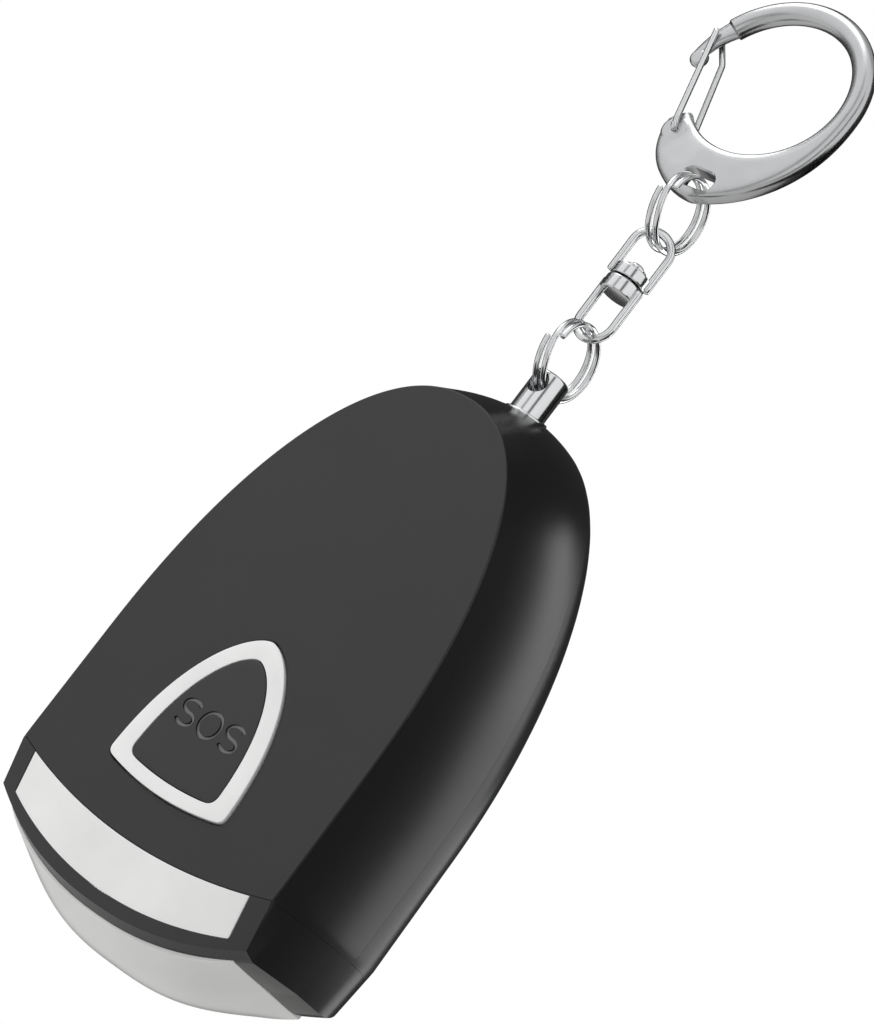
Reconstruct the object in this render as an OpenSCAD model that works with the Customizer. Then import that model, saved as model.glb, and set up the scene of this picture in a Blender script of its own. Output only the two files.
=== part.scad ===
// Personal safety alarm hanging from its snap hook.
// The chain runs along Z, the front face looks towards -Y, and the origin is where the hook bears.

/* [Housing] */
// Width of the flat front face
face_w = 41.4; // [40:0.1:44]
// Height of the front face from its lower corners to the top of the arch
face_h = 60.2; // [59:0.1:63]
// Height over which the sides run parallel below the arch
side_h = 16; // [14:0.5:18]
// Exponent of the arch curve
arch_exp = 2.2; // [2.1:0.05:2.5]
// Distance of the front face in front of the chain axis
front_d = 12; // [11.5:0.1:13]
// Distance of the flat back behind the chain axis
back_d = 14; // [13.5:0.1:15]
// Growth of the half width from the front face to the widest section
side_swell = 2.1; // [1.5:0.1:2.6]
// Rise of the top from the front face to the widest section
top_swell = 5.8; // [5:0.1:6.5]
// Depth over which the sides grow to the widest section
swell_d = 13; // [12:0.5:14]
// Radius of the edge round the back
back_round = 8; // [7:0.25:8.5]
// Share of that radius by which the end draws in towards the back
end_round = 0.65; // [0.5:0.05:0.75]
// Wall thickness of the mouldings
wall = 1.8; // [1.5:0.1:2]
// Parting line of the two shells behind the chain axis
parting_d = 5; // [4.5:0.1:5.5]
// Open line between neighbouring mouldings
seam = 0.12; // [0.06:0.02:0.2]

/* [End cap] */
// Radius of the crease below the front face, seen from the front
crease_r = 68; // [60:1:80]
// Depth of that crease below the face's corners at the middle
crease_dip = 3; // [2.5:0.1:3.4]
// Depth of the sloping front below the crease
slope_d = 2; // [1.6:0.1:2.4]
// Drop of the end's corners below the face's corners
corner_drop = 5.5; // [5.2:0.1:6]
// Bulge of the end between its corners
end_bulge = 5.4; // [5:0.1:5.8]
// Inward taper of the sides at the end
end_taper = 1.2; // [0.8:0.1:1.5]
// Margin of the bezel beside the light bar
bar_side = 2.7; // [2.2:0.1:4]
// Radius of the light bar's lower edge
bar_r = 47; // [42:1:52]
// Depth of the light bar's lower edge below the face's corners at the middle
bar_dip = 9.35; // [8.8:0.05:9.5]
// Margin of the bezel beside the end window
lens_side = 1.9; // [1.5:0.1:3]
// Reach of the end window in front of the chain axis
lens_front = 8.3; // [7.8:0.1:8.5]
// Reach of the end window behind the chain axis
lens_back = 9; // [8:0.1:9.2]
// Corner radius of the end window
lens_corner = 0.5; // [0.4:0.1:2]
// Lens ridge below the face's corners
lens_drop = 14.5; // [14:0.1:15.2]
// Radius of the lens ridge, seen from the front
lens_ridge_r = 44; // [42:1:48]
// Radius that rounds the lens down towards its two ends, seen from the front
lens_end_r = 31; // [29:1:36]
// Radius of the lens across its depth
lens_cross_r = 13; // [12.5:0.1:14]
// Wall thickness of the lens and the light bar
lens_wall = 1.5; // [1.2:0.1:1.6]

/* [Button] */
// Half width of the light ring
ring_key_w = 9.45; // [9:0.05:9.8]
// Height of the light ring
ring_key_h = 21.3; // [20.5:0.1:22]
// Lower edge of the light ring above the face's corners
ring_key_z = 2.86; // [2.7:0.02:3.2]
// Half width of the button
button_w = 6.9; // [6.4:0.1:7.1]
// Height of the button
button_h = 16.9; // [16:0.1:17.2]
// Lower edge of the button above the face's corners
button_z = 4.78; // [4.6:0.02:5]
// Gap round the light ring
key_gap = 0.3; // [0.2:0.02:0.4]
// Height of the light ring over the face
key_proud = 0.3; // [0.1:0.05:0.5]
// Travel of the button
key_travel = 0.8; // [0.5:0.05:0.9]

/* [Inside] */
// Thickness of the circuit board
board_t = 1.2; // [1:0.1:1.4]
// Distance of the board's front behind the front face
board_d = 6; // [5.8:0.1:6.2]
// Radius of the siren
siren_r = 13; // [12:0.25:13.2]
// Depth of the siren
siren_d = 9; // [7:0.25:10]
// Drop of the siren's axis below the middle between the cells' pocket and the pin's socket
siren_off = 0.7; // [0.4:0.1:1]
// Thickness of the siren gasket
gasket_t = 1; // [0.6:0.1:1.2]
// Diameter of a coin cell
cell_d = 16; // [15:0.1:16.4]
// Thickness of a coin cell
cell_t = 3.2; // [2.6:0.1:3.4]
// Height of the cells' axis over the face's corners
cell_z = 9; // [8.8:0.1:9.4]
// Shank diameter of the housing screws
screw_d = 2; // [1.6:0.1:2.2]

/* [Pull pin] */
// Diameter of the pin
pin_d = 4.6; // [4.2:0.1:5]
// Length of the pin above the body
pin_out = 4.9; // [4.7:0.1:5.4]
// Length of the pin inside the body
pin_in = 14; // [11:0.5:14.5]
// Diameter of the pin's cross hole
pin_hole_d = 2.6; // [2.5:0.05:2.7]
// Height of the cross hole over the body
pin_hole_h = 3; // [2.9:0.05:3.2]
// Sliding clearance round the pin
pin_clear = 0.06; // [0.03:0.01:0.1]

/* [Split rings] */
// Outer diameter of a split ring
ring_d = 10.4; // [10:0.1:11.5]
// Wire diameter of a split ring
ring_wire = 0.75; // [0.65:0.05:0.75]
// Gap between the two turns
ring_gap = 0.43; // [0.42:0.01:0.5]
// Angle over which the wire crosses from one turn to the other
ring_cross = 30; // [26:1:40]

/* [Swivel] */
// Outer width of a loop
loop_w = 6.05; // [5.9:0.05:6.4]
// Wire diameter of a loop
loop_wire = 1.05; // [0.95:0.05:1.05]
// Reach of the lower loop below its drum
lower_loop_h = 6.95; // [6.6:0.05:7.4]
// Reach of the upper loop above its drum
upper_loop_h = 6.5; // [6.3:0.05:7]
// Turn of the upper loop about the chain at rest
upper_loop_turn = 28; // [0:1:30]
// Diameter of the drums
drum_d = 4.85; // [4.7:0.05:5]
// Height of the lower drum
lower_drum_h = 1.9; // [1.6:0.1:2.2]
// Height of the upper drum
upper_drum_h = 1.55; // [1.4:0.05:1.8]
// Running gap between the drums
drum_gap = 0.25; // [0.15:0.05:0.35]
// Shank diameter of the rivet
rivet_d = 1.6; // [1.4:0.1:1.8]
// Head diameter of the rivet
rivet_head_d = 2.8; // [2.4:0.1:2.9]
// Head height of the rivet
rivet_head_h = 1.1; // [0.8:0.1:1.2]
// Clearance between linked wires
link_clear = 0.3; // [0.26:0.02:0.4]

/* [Hook] */
// Inner radius of the hook's loop
hook_r = 10.1; // [9.8:0.1:10.8]
// Width of the hook's bar
hook_bar = 2.9; // [2.7:0.1:3.1]
// Thickness of the hook
hook_t = 2.5; // [2.3:0.1:2.6]
// Distance of the eye below the middle of the loop
eye_drop = 15.1; // [14.9:0.1:15.4]
// Height of the eye
eye_h = 2.6; // [2.5:0.05:2.7]
// Width of the eye
eye_w = 4.6; // [4.2:0.1:5]
// Metal left below the eye
eye_rim = 1.25; // [1:0.05:1.5]
// Wire diameter of the gate
gate_wire = 0.8; // [0.7:0.05:0.85]
// Length of the gate from its pivot to its tips
gate_len = 15; // [14.6:0.1:15.2]
// Lean of the gate from the chain's direction
gate_lean = 15.3; // [14.5:0.1:16]

/* [Hidden] */
$fn = 48;

// Body sections
bottom_n = 6;
arch_n = 11;
round_n = 4;
taper_top = 2;
reach = 100;
body_top = face_h + top_swell;
flat_y = back_d - back_round;
bar_half_w = face_w / 2 - bar_side;
lens_half_w = face_w / 2 - lens_side;
bar_back = -lens_front - 0.3;

// Board, cells and siren
board_y = -front_d + board_d;
board_back = board_y + board_t;
board_edge = 1;
inner_back = back_d - wall;
fit_gap = 0.1;
gasket_back = inner_back + 0.3;
siren_front = gasket_back - gasket_t - siren_d;
sleeve_wall = 1.2;
pocket_r = cell_d / 2 + 0.4;
cell_stack = 2 * cell_t;
door_t = wall + 0.2;
door_r = pocket_r + 0.9;
contact_t = 0.3;
pocket_floor = back_d - door_t - cell_stack - contact_t - 3 * fit_gap;
screw_side = 7.7;
screw_drop = 9.7;
screw_x = face_w / 2 - screw_side;
screw_top_x = 6.5;
screw_low_z = 4;
screw_top_z = face_h - screw_drop;
screw_places = [[-screw_x, screw_low_z], [screw_x, screw_low_z],
    [-screw_top_x, screw_top_z], [screw_top_x, screw_top_z]];
boss_r = screw_d / 2 + 1.2;
screw_head_r = screw_d / 2 + 1;
screw_head_h = 1.5;
screw_sink = 2.4;

// Key: the light ring and the button move together
key_face = -front_d - key_proud;
key_back = -front_d + wall + key_gap;
flange_t = 0.8;
flange_out = 0.9;
switch_z = button_z + button_h * 0.4;
switch_half = 3;
switch_h = 1.8;
plunger_r = 1.6;

// Pin and its seat
collar_over = 0.35;
collar_under = 1;
collar_r = pin_d / 2 + 0.75;
socket_r = pin_d / 2 + 1.3;
socket_low = body_top - pin_in - 1.2;
siren_z = (cell_z + pocket_r + sleeve_wall + socket_low) / 2 - siren_off;
seal_top = body_top - top_swell * (1 - (front_d - socket_r) / swell_d) - wall - 0.3;
seal_t = 1.2;
pin_hole_z = body_top + pin_hole_h;
pull_switch_z = screw_top_z + boss_r + 0.4;

// Chain, from the pin up to the hook
ring_r = (ring_d - ring_wire) / 2;
strand_x = (ring_wire + ring_gap) / 2;
pin_seat = 0.27;
lower_ring_z = pin_hole_z - pin_seat + ring_r;
loop_bend = (loop_w - loop_wire) / 2;
link_drop = (ring_wire + loop_wire) / 2 + link_clear;
turned_link_drop = link_drop + 0.35;
lower_loop_z = lower_ring_z + ring_r - link_drop;
lower_drum_z = lower_loop_z - loop_wire / 2 + lower_loop_h;
upper_drum_z = lower_drum_z + lower_drum_h + drum_gap;
upper_loop_z = upper_drum_z + upper_drum_h + upper_loop_h - loop_wire / 2;
upper_ring_z = upper_loop_z - turned_link_drop + ring_r;
eye_seat = 0.08;
eye_z = upper_ring_z + ring_r - eye_seat;
hook_z = eye_z + eye_drop;
hang_z = hook_z + hook_r;

// Hook bar by angle round the loop, counted anticlockwise from +X seen from the front
nose_end = 178;
neck_start = 150;
neck_t = 1.1;
ear_end = -136;
ear_t = 1.9;
eye_angle = -90;
boss_reach = eye_drop + eye_h / 2 + eye_rim - hook_r;
ear_r = 2.05;
ear_x = -7.55;
ear_dz = -10.05;
gate_side = ear_t / 2 + gate_wire / 2 + 0.15;
gate_tip_side = neck_t / 2 + gate_wire / 2 + 0.3;
gate_hole_clear = 0.05;
leg_draw = 0.06;

module hung() {
    translate([0, 0, -hang_z]) children();
}

// Share of the full swell at a depth
function swell(y) = min(1, (y + front_d) / swell_d);

// Closed outline [x, z]: a bulged end, tapered corners, parallel sides and a superellipse arch
function outline(half_w, top, corner_in, corner_z, bulge) =
    let (corner_x = half_w - corner_in)
    let (right = concat(
        [for (i = [0:bottom_n - 1]) [corner_x * i / bottom_n, corner_z - bulge * (1 - pow(i / bottom_n, 2.2))]],
        [[corner_x, corner_z], [half_w, taper_top]],
        [for (i = [0:arch_n]) let (a = 90 * i / arch_n)
            [half_w * pow(cos(a), 2 / arch_exp), side_h + (top - side_h) * pow(sin(a), 2 / arch_exp)]]))
    concat(right, [for (i = [len(right) - 2:-1:1]) [-right[i][0], right[i][1]]]);

// Section of the body at a depth, drawn in by one distance round the arch and another at the end
function section(y, inset, end_inset, corner_in, corner_z, bulge) = [
    y,
    outline(face_w / 2 + side_swell * swell(y) - inset, body_top - top_swell * (1 - swell(y)) - inset,
        corner_in, corner_z + end_inset, bulge)
];

// Sections of the body from front to back, or of its cavity when drawn in
function body_sections(inset, past) = concat(
    [
        section(-front_d + inset, inset, inset, 0.02, 0.2, crease_dip + 0.2),
        section(-front_d + slope_d + inset, inset, inset, end_taper / 2, -corner_drop, end_bulge - 0.25),
        section(-front_d + 2 * slope_d + inset, inset, inset, end_taper * 0.7, -corner_drop - 0.5, end_bulge + 0.1),
        section(-front_d + swell_d, inset, inset, end_taper, -corner_drop, end_bulge)
    ],
    [for (i = [0:round_n]) let (a = 90 * i / round_n, r = back_round - inset, draw = r * (1 - cos(a)))
        let (s = section(flat_y, inset + draw, inset + end_round * draw, end_taper, -corner_drop, end_bulge))
        [flat_y + r * sin(a) + (i == round_n ? past : 0), s[1]]]
);

// Solid through a list of sections
module loft(sections) {
    n = len(sections[0][1]);
    m = len(sections);
    points = [for (s = sections) for (p = s[1]) [p[0], s[0], p[1]]];
    sides = [for (j = [0:m - 2]) for (i = [0:n - 1]) let (k = (i + 1) % n)
        each [[j * n + i, j * n + k, (j + 1) * n + k], [j * n + i, (j + 1) * n + k, (j + 1) * n + i]]];
    front = [for (i = [n - 1:-1:0]) i];
    back = [for (i = [0:n - 1]) (m - 1) * n + i];
    polyhedron(points, concat(sides, [front, back]));
}

module body_skin() {
    intersection() {
        loft(body_sections(0, 0.2));
        depth_zone(-front_d - 1, back_d);
    }
}

module body_cavity() {
    loft(body_sections(wall, 0));
}

// Slab of space between two depths
module depth_zone(y0, y1) {
    translate([-reach / 2, y0, -reach / 2]) cube([reach, y1 - y0, 2 * reach]);
}

// Cylinder along Y from one depth to another
module bar_y(r, y0, y1) {
    translate([0, y0, 0]) rotate([-90, 0, 0]) cylinder(r = r, h = y1 - y0);
}

// Space above the crease that parts the shells from the end cap
module above_crease(lift) {
    translate([0, 0, crease_r - crease_dip + lift]) bar_y(crease_r, -reach / 2, reach / 2, $fn = 180);
}

// Half outline of the key by height, with rounded lower corners
function key_half(half_w, height, lift, corner, grow) = [for (i = [0:16])
    let (u = sin(90 * i / 16), h = lift + (height - lift) * u, c = max(0, corner - (h - lift)))
    [half_w * pow(max(0, 1 - pow(h / height, 2.3)), 0.62) + grow - corner + sqrt(corner * corner - c * c)
        - (i == 16 ? grow : 0), h + (i == 16 ? grow : i == 0 ? -grow : 0)]];

module key_shape(half_w, height, lift, corner, grow) {
    side = key_half(half_w, height, lift, corner, grow);
    dip = [0, -grow];
    polygon(concat([dip], side, [for (i = [len(side) - 2:-1:0]) [-side[i][0], side[i][1]]]));
}

// The key's outline carried along the depth
module key_block(half_w, height, z, lift, corner, grow, y0, y1) {
    translate([0, y1, z]) rotate([90, 0, 0])
        linear_extrude(y1 - y0) key_shape(half_w, height, lift, corner, grow);
}

module ring_block(grow, y0, y1) {
    key_block(ring_key_w, ring_key_h, ring_key_z, 0.94, 1, grow, y0, y1);
}

module button_block(grow, y0, y1) {
    key_block(button_w, button_h, button_z, 0, 1.3, grow, y0, y1);
}

module at_screws() {
    for (p = screw_places) translate([p[0], 0, p[1]]) children();
}

module front_cover() {
    color("#434345") hung() difference() {
        union() {
            difference() {
                intersection() {
                    body_skin();
                    depth_zone(-front_d - 1, parting_d);
                    above_crease(seam);
                }
                body_cavity();
            }
            at_screws() bar_y(boss_r, -front_d + wall / 2, board_y);
        }
        ring_block(key_gap, -front_d - 1, -front_d + wall + 1);
        translate([0, 0, seal_top]) cylinder(r = collar_r + fit_gap, h = body_top);
        at_screws() bar_y(screw_d / 2 + 0.02, -front_d + wall, board_y + 1);
    }
}

// Sound holes in rings over the siren
module sound_holes() {
    hole_r = 0.8;
    translate([0, 0, siren_z]) for (k = [0:2]) for (i = [0:max(1, 6 * k) - 1])
        rotate([0, 60 / max(1, k) * i, 0]) translate([3.2 * k, 0, 0]) bar_y(hole_r, inner_back - 1, back_d + 1);
}

module rear_cover() {
    color("#2e2e30") hung() difference() {
        union() {
            difference() {
                intersection() {
                    body_skin();
                    depth_zone(parting_d + seam, back_d);
                    above_crease(seam);
                }
                body_cavity();
            }
            at_screws() bar_y(boss_r, board_back, back_d - screw_sink);
            at_screws() bar_y(screw_head_r + 1, back_d - screw_sink - 1, back_d - wall * 0.5);
            translate([0, 0, siren_z])
                bar_y(siren_r + fit_gap + sleeve_wall, siren_front + 2, back_d - wall * 0.6);
            translate([0, 0, cell_z])
                bar_y(pocket_r + sleeve_wall, pocket_floor - sleeve_wall, back_d - wall * 0.4);
        }
        translate([0, 0, siren_z]) bar_y(siren_r + fit_gap, -reach, gasket_back);
        translate([0, 0, cell_z]) bar_y(pocket_r, pocket_floor, back_d + 1);
        translate([0, 0, cell_z]) bar_y(door_r, back_d - door_t, back_d + 1);
        sound_holes();
        at_screws() bar_y(screw_d / 2 + fit_gap, board_back - 1, back_d - 1);
        at_screws() bar_y(screw_head_r + fit_gap, back_d - screw_sink, back_d + 1);
    }
}

// Rounded rectangle of the end window, drawn in by a distance
module window_shape(inset) {
    w = lens_half_w - inset;
    y0 = -lens_front + inset;
    y1 = lens_back - inset;
    c = lens_corner;
    translate([-w + c, y0]) square([2 * (w - c), y1 - y0]);
    translate([-w, y0 + c]) square([2 * w, y1 - y0 - 2 * c]);
    for (x = [-w + c, w - c]) for (y = [y0 + c, y1 - c]) translate([x, y]) circle(r = c);
}

module window_block(inset, z0, z1) {
    translate([0, 0, z0]) linear_extrude(z1 - z0) window_shape(inset);
}

// Space of the light bar between the crease and its own lower edge
module bar_space(inset) {
    difference() {
        intersection() {
            translate([-bar_half_w + inset, -front_d - 1, -reach / 2])
                cube([2 * (bar_half_w - inset), bar_back + front_d + 1, reach]);
            translate([0, 0, bar_r - bar_dip]) bar_y(bar_r - inset, -front_d - 2, 0, $fn = 140);
        }
        above_crease(-inset);
    }
}

module end_cap() {
    color("#2c2c2d") hung() difference() {
        body_skin();
        above_crease(0);
        body_cavity();
        bar_space(0);
        window_block(0, -2 * lens_drop, 0);
    }
}

module front_light_bar() {
    color("#e6e6e2") hung() intersection() {
        difference() {
            body_skin();
            loft(body_sections(lens_wall, 0));
        }
        bar_space(fit_gap);
    }
}

// Barrel form of the lens: a disc whose rim bulges, turned about the depth axis
module lens_barrel(inset) {
    middle_r = lens_ridge_r - lens_cross_r;
    translate([0, 0, lens_ridge_r - lens_drop]) rotate([90, 0, 0]) rotate_extrude($fn = 160) {
        translate([middle_r, 0]) circle(r = lens_cross_r - inset, $fn = 80);
        translate([0, -lens_cross_r]) square([middle_r, 2 * lens_cross_r]);
    }
}

// Round form that brings the lens down to the bezel at its two ends
module lens_ends(inset) {
    translate([0, 0, lens_end_r - lens_drop]) bar_y(lens_end_r - inset, -reach / 2, reach / 2, $fn = 160);
}

module end_lens() {
    skirt_top = -corner_drop + wall;
    color("#dcdcd8") hung() difference() {
        intersection() {
            lens_barrel(0);
            lens_ends(0);
            window_block(fit_gap, -2 * lens_drop, skirt_top);
        }
        intersection() {
            lens_barrel(lens_wall);
            lens_ends(lens_wall);
            window_block(fit_gap + lens_wall, -2 * lens_drop, skirt_top + 1);
        }
    }
}

module button_light_ring() {
    color("#e6e6e2") hung() difference() {
        union() {
            ring_block(0, key_face, key_back);
            ring_block(flange_out, key_back, key_back + flange_t);
        }
        button_block(fit_gap, key_face - 1, key_back + 2);
    }
}

module sos_button() {
    color("#1d1d1e") hung() {
        button_block(0, key_face, key_back + flange_t);
        button_block(flange_out, key_back + flange_t, key_back + 2 * flange_t);
    }
}

module switch_plunger() {
    color("#1a1a1a") hung() translate([0, 0, switch_z])
        bar_y(plunger_r, key_back + 2 * flange_t, board_y - key_travel - 2 * fit_gap);
}

module button_switch() {
    color("#777777") hung() translate([0, 0, switch_z]) difference() {
        translate([-switch_half, board_y - switch_h + key_travel, -switch_half])
            cube([2 * switch_half, switch_h - key_travel, 2 * switch_half]);
        bar_y(plunger_r + fit_gap, -front_d, board_y - fit_gap);
    }
}

module circuit_board() {
    inset = wall + 1.2;
    color("#1f5a3a") hung() difference() {
        translate([0, board_back, 0]) rotate([90, 0, 0]) linear_extrude(board_t)
            polygon(outline(face_w / 2 - inset, face_h - inset, 0.02, -board_edge, 0.02));
        at_screws() bar_y(screw_d / 2 + fit_gap, board_y - 1, board_back + 1);
    }
}

module leds() {
    led = [3.4, 1.9, 2.6];
    small = [2, 0.9, 1.4];
    color("#f2e9b0") hung() {
        for (x = [-bar_half_w / 2, 0, bar_half_w / 2])
            translate([x - led[0] / 2, board_back, -board_edge]) {
                cube(led);
                translate([led[0] / 2, led[1] / 2, 0.2]) sphere(r = led[1] / 2, $fn = 24);
            }
        for (x = [-7.5, 7.5])
            translate([x - small[0] / 2, board_y - small[1], ring_key_z + ring_key_h / 4]) cube(small);
    }
}

module siren() {
    sound_r = 2;
    color("#161616") hung() translate([0, 0, siren_z]) difference() {
        bar_y(siren_r, siren_front, siren_front + siren_d);
        bar_y(sound_r, siren_front + siren_d - 2, siren_front + siren_d + 1);
    }
}

module siren_gasket() {
    color("#303030") hung() translate([0, 0, siren_z]) difference() {
        bar_y(siren_r, gasket_back - gasket_t, gasket_back);
        bar_y(siren_r - 2.5, gasket_back - gasket_t - 1, gasket_back + 1);
    }
}

module coin_cells() {
    bevel = 0.4;
    color("#c4c6c8") hung() translate([0, pocket_floor + contact_t + fit_gap, cell_z]) rotate([-90, 0, 0])
        for (i = [0:1]) translate([0, 0, i * (cell_t + fit_gap / 2)]) {
            cylinder(r = cell_d / 2 - bevel, h = bevel);
            translate([0, 0, bevel]) cylinder(r = cell_d / 2, h = cell_t - bevel);
        }
}

module battery_contact() {
    color("#c9a75a") hung() translate([0, 0, cell_z]) difference() {
        bar_y(cell_d / 2 - 1, pocket_floor, pocket_floor + contact_t);
        bar_y(cell_d / 4, pocket_floor - 1, pocket_floor + 1);
    }
}

module battery_door() {
    slot_margin = 4.8;
    slot = [2 * (door_r - slot_margin), 1, 1.6];
    color("#2e2e30") hung() difference() {
        translate([0, 0, cell_z]) bar_y(door_r - fit_gap, back_d - door_t + fit_gap / 2, back_d);
        translate([-slot[0] / 2, back_d - slot[1], cell_z - slot[2] / 2]) cube([slot[0], slot[1] + 1, slot[2]]);
    }
}

module housing_screws() {
    drive_w = 0.5;
    head_y = back_d - screw_sink;
    color("#8d8f92") hung() at_screws() difference() {
        union() {
            bar_y(screw_head_r, head_y, head_y + screw_head_h);
            bar_y(screw_d / 2, -front_d + wall + fit_gap, head_y);
        }
        for (turn = [0, 90]) rotate([0, turn, 0])
            translate([-screw_head_r * 0.6, head_y + screw_head_h - 0.7, -drive_w / 2])
                cube([screw_head_r * 1.2, 2, drive_w]);
    }
}

// Tube round the chain axis
module tube_z(r_out, r_in, z0, z1) {
    translate([0, 0, z0]) difference() {
        cylinder(r = r_out, h = z1 - z0);
        translate([0, 0, -1]) cylinder(r = r_in, h = z1 - z0 + 2);
    }
}

// Collar that stands a little over the sloping top all round
module pin_collar() {
    color("#d0d2d4") hung() difference() {
        intersection() {
            tube_z(collar_r, pin_d / 2 + pin_clear, body_top / 2, 2 * body_top);
            translate([0, 0, collar_over]) loft(body_sections(0, 0.2));
        }
        translate([0, 0, -collar_under]) loft(body_sections(0, 0.2));
    }
}

module pin_socket() {
    color("#d8d8d4") hung() tube_z(socket_r, pin_d / 2 + pin_clear, socket_low, seal_top - seal_t);
}

module pin_seal() {
    color("#222222") hung() tube_z(socket_r, pin_d / 2 + pin_clear, seal_top - seal_t, seal_top);
}

module pull_switch() {
    case_size = [5, 4.4, 5];
    leg = [1, -case_size[1] / 2 - board_back, 1];
    color("#2a2a2a") hung() translate([socket_r, 0, pull_switch_z]) {
        translate([0, -case_size[1] / 2, 0]) cube(case_size);
        for (x = [0.4, 1.8]) translate([x, board_back, 0.4]) cube(leg);
    }
}

module pull_pin() {
    edge = 0.4;
    groove = 0.35;
    groove_z = pin_in - 3;
    length = pin_in + pin_out;
    color("#c8cacc") hung() difference() {
        translate([0, 0, body_top - pin_in]) rotate_extrude() polygon([
            [0, 0], [pin_d / 2 - edge, 0], [pin_d / 2, edge],
            [pin_d / 2, groove_z - groove], [pin_d / 2 - groove, groove_z], [pin_d / 2, groove_z + groove],
            [pin_d / 2, length - edge], [pin_d / 2 - edge, length], [0, length]
        ]);
        translate([0, 0, pin_hole_z]) bar_y(pin_hole_d / 2, -pin_d, pin_d);
    }
}

// Centre line of a split ring: two flat turns joined by one crossing, as [angle, x] steps
ring_step = 15;
ring_end_gap = 4;
ring_end = 178;
ring_turn = 720 - ring_cross - 2 * ring_end_gap;
ring_steps = ceil(ring_turn / ring_step);
ring_half_turn = ring_turn / 2;
function ring_x(a) =
    let (u = max(0, min(1, (a - ring_half_turn) / ring_cross + 0.5)))
    strand_x * (2 * u * u * (3 - 2 * u) - 1);
ring_path = [for (i = [0:ring_steps]) let (a = ring_turn * i / ring_steps)
    [ring_x(a), ring_r * cos(a), ring_r * sin(a)]];

// Least gap of the wire to itself, between points more than a few diameters apart along it
ring_apart = 6;
ring_least_gap = min([for (i = [0:ring_steps]) for (j = [i + ring_apart:1:ring_steps])
    norm(ring_path[i] - ring_path[j])]) - ring_wire;
echo(split_ring_least_gap = ring_least_gap);

// Round wire swept along a path that winds about the X axis
module wire(path, d, sides) {
    m = len(path);
    across = [for (i = [0:m - 1])
        let (t = path[min(m - 1, i + 1)] - path[max(0, i - 1)], out = [0, path[i][1], path[i][2]])
        [out / norm(out), cross(t, out) / norm(cross(t, out))]];
    points = [for (i = [0:m - 1]) for (k = [0:sides - 1])
        path[i] + d / 2 * (cos(360 * k / sides) * across[i][0] + sin(360 * k / sides) * across[i][1])];
    faces = [for (i = [0:m - 2]) for (k = [0:sides - 1]) let (q = (k + 1) % sides)
        each [[i * sides + k, (i + 1) * sides + q, i * sides + q],
              [i * sides + k, (i + 1) * sides + k, (i + 1) * sides + q]]];
    near = [for (k = [1:sides - 2]) [0, k, k + 1]];
    far = [for (k = [1:sides - 2]) [(m - 1) * sides, (m - 1) * sides + k + 1, (m - 1) * sides + k]];
    polyhedron(points, concat(faces, near, far));
}

// Split ring with its free ends turned to an angle
module split_ring(z, end_angle) {
    translate([0, 0, z]) rotate([end_angle, 0, 0]) wire(ring_path, ring_wire, 8);
}

module lower_split_ring() {
    color("#c8cacc") hung() split_ring(lower_ring_z, ring_end);
}

module upper_split_ring() {
    color("#c8cacc") hung() split_ring(upper_ring_z, ring_end);
}

// U-shaped wire with its bend at z = 0 and its legs going up
module wire_loop(leg) {
    translate([0, 0, loop_bend]) rotate([90, 0, 0])
        rotate([0, 0, 180]) rotate_extrude(angle = 180) translate([loop_bend, 0]) circle(d = loop_wire, $fn = 24);
    for (side = [-1, 1])
        translate([side * loop_bend, 0, loop_bend]) cylinder(d = loop_wire, h = leg, $fn = 24);
}

leg_seat = 0.02;
module leg_grooves(h) {
    for (side = [-1, 1])
        translate([side * loop_bend, 0, -1]) cylinder(d = loop_wire + 2 * leg_seat, h = h + 2, $fn = 24);
}

module swivel_lower_loop() {
    color("#c8cacc") hung() translate([0, 0, lower_loop_z])
        wire_loop(lower_drum_z + lower_drum_h - lower_loop_z - loop_bend - 0.1);
}

module swivel_lower_drum() {
    color("#c0c2c4") hung() translate([0, 0, lower_drum_z]) difference() {
        cylinder(d = drum_d, h = lower_drum_h);
        leg_grooves(lower_drum_h);
        translate([0, 0, -1]) cylinder(d = rivet_d + 0.02, h = lower_drum_h + 2);
    }
}

module swivel_rivet() {
    rivet_clear = 0.1;
    head_z = upper_drum_z + upper_drum_h + rivet_clear;
    color("#b8babc") hung() {
        translate([0, 0, lower_drum_z + 0.1]) cylinder(d = rivet_d, h = head_z + 0.1 - lower_drum_z);
        translate([0, 0, head_z]) cylinder(d = rivet_head_d, h = rivet_head_h / 2);
        translate([0, 0, head_z + rivet_head_h / 4]) cylinder(d = rivet_head_d * 0.7, h = rivet_head_h * 3 / 4);
    }
}

module swivel_upper_drum() {
    color("#c0c2c4") hung() translate([0, 0, upper_drum_z]) rotate([0, 0, upper_loop_turn]) difference() {
        cylinder(d = drum_d, h = upper_drum_h);
        leg_grooves(upper_drum_h);
        translate([0, 0, -1]) cylinder(d = rivet_d + 0.1, h = upper_drum_h + 2);
    }
}

module swivel_upper_loop() {
    color("#c8cacc") hung() translate([0, 0, upper_loop_z]) rotate([0, 0, upper_loop_turn]) mirror([0, 0, 1])
        wire_loop(upper_loop_z - upper_drum_z - loop_bend);
}

// Outer edge of the hook's bar by angle: even round the loop, drawn out to the eye and in to the ear
function hook_out(a) =
    hook_r + (a >= 0 ? hook_bar
        : a >= eye_angle ? hook_bar + (boss_reach - hook_bar) * pow(a / eye_angle, 1.7)
        : boss_reach - (boss_reach - hook_bar - 1.4) * pow((eye_angle - a) / (eye_angle - ear_end), 0.9));

// Thickness of the bar by angle: thin at the neck that the gate closes on, and at the ear
function hook_thick(a) =
    a > neck_start ? neck_t
    : a < -100 ? hook_t - (hook_t - ear_t) * min(1, (-100 - a) / 20)
    : hook_t;

// Inner edge of the bar by angle: the neck is set out from the loop
function hook_in(a) = hook_r + (a > neck_start ? 1.4 * (a - neck_start) / (nose_end - neck_start) : 0);

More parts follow.
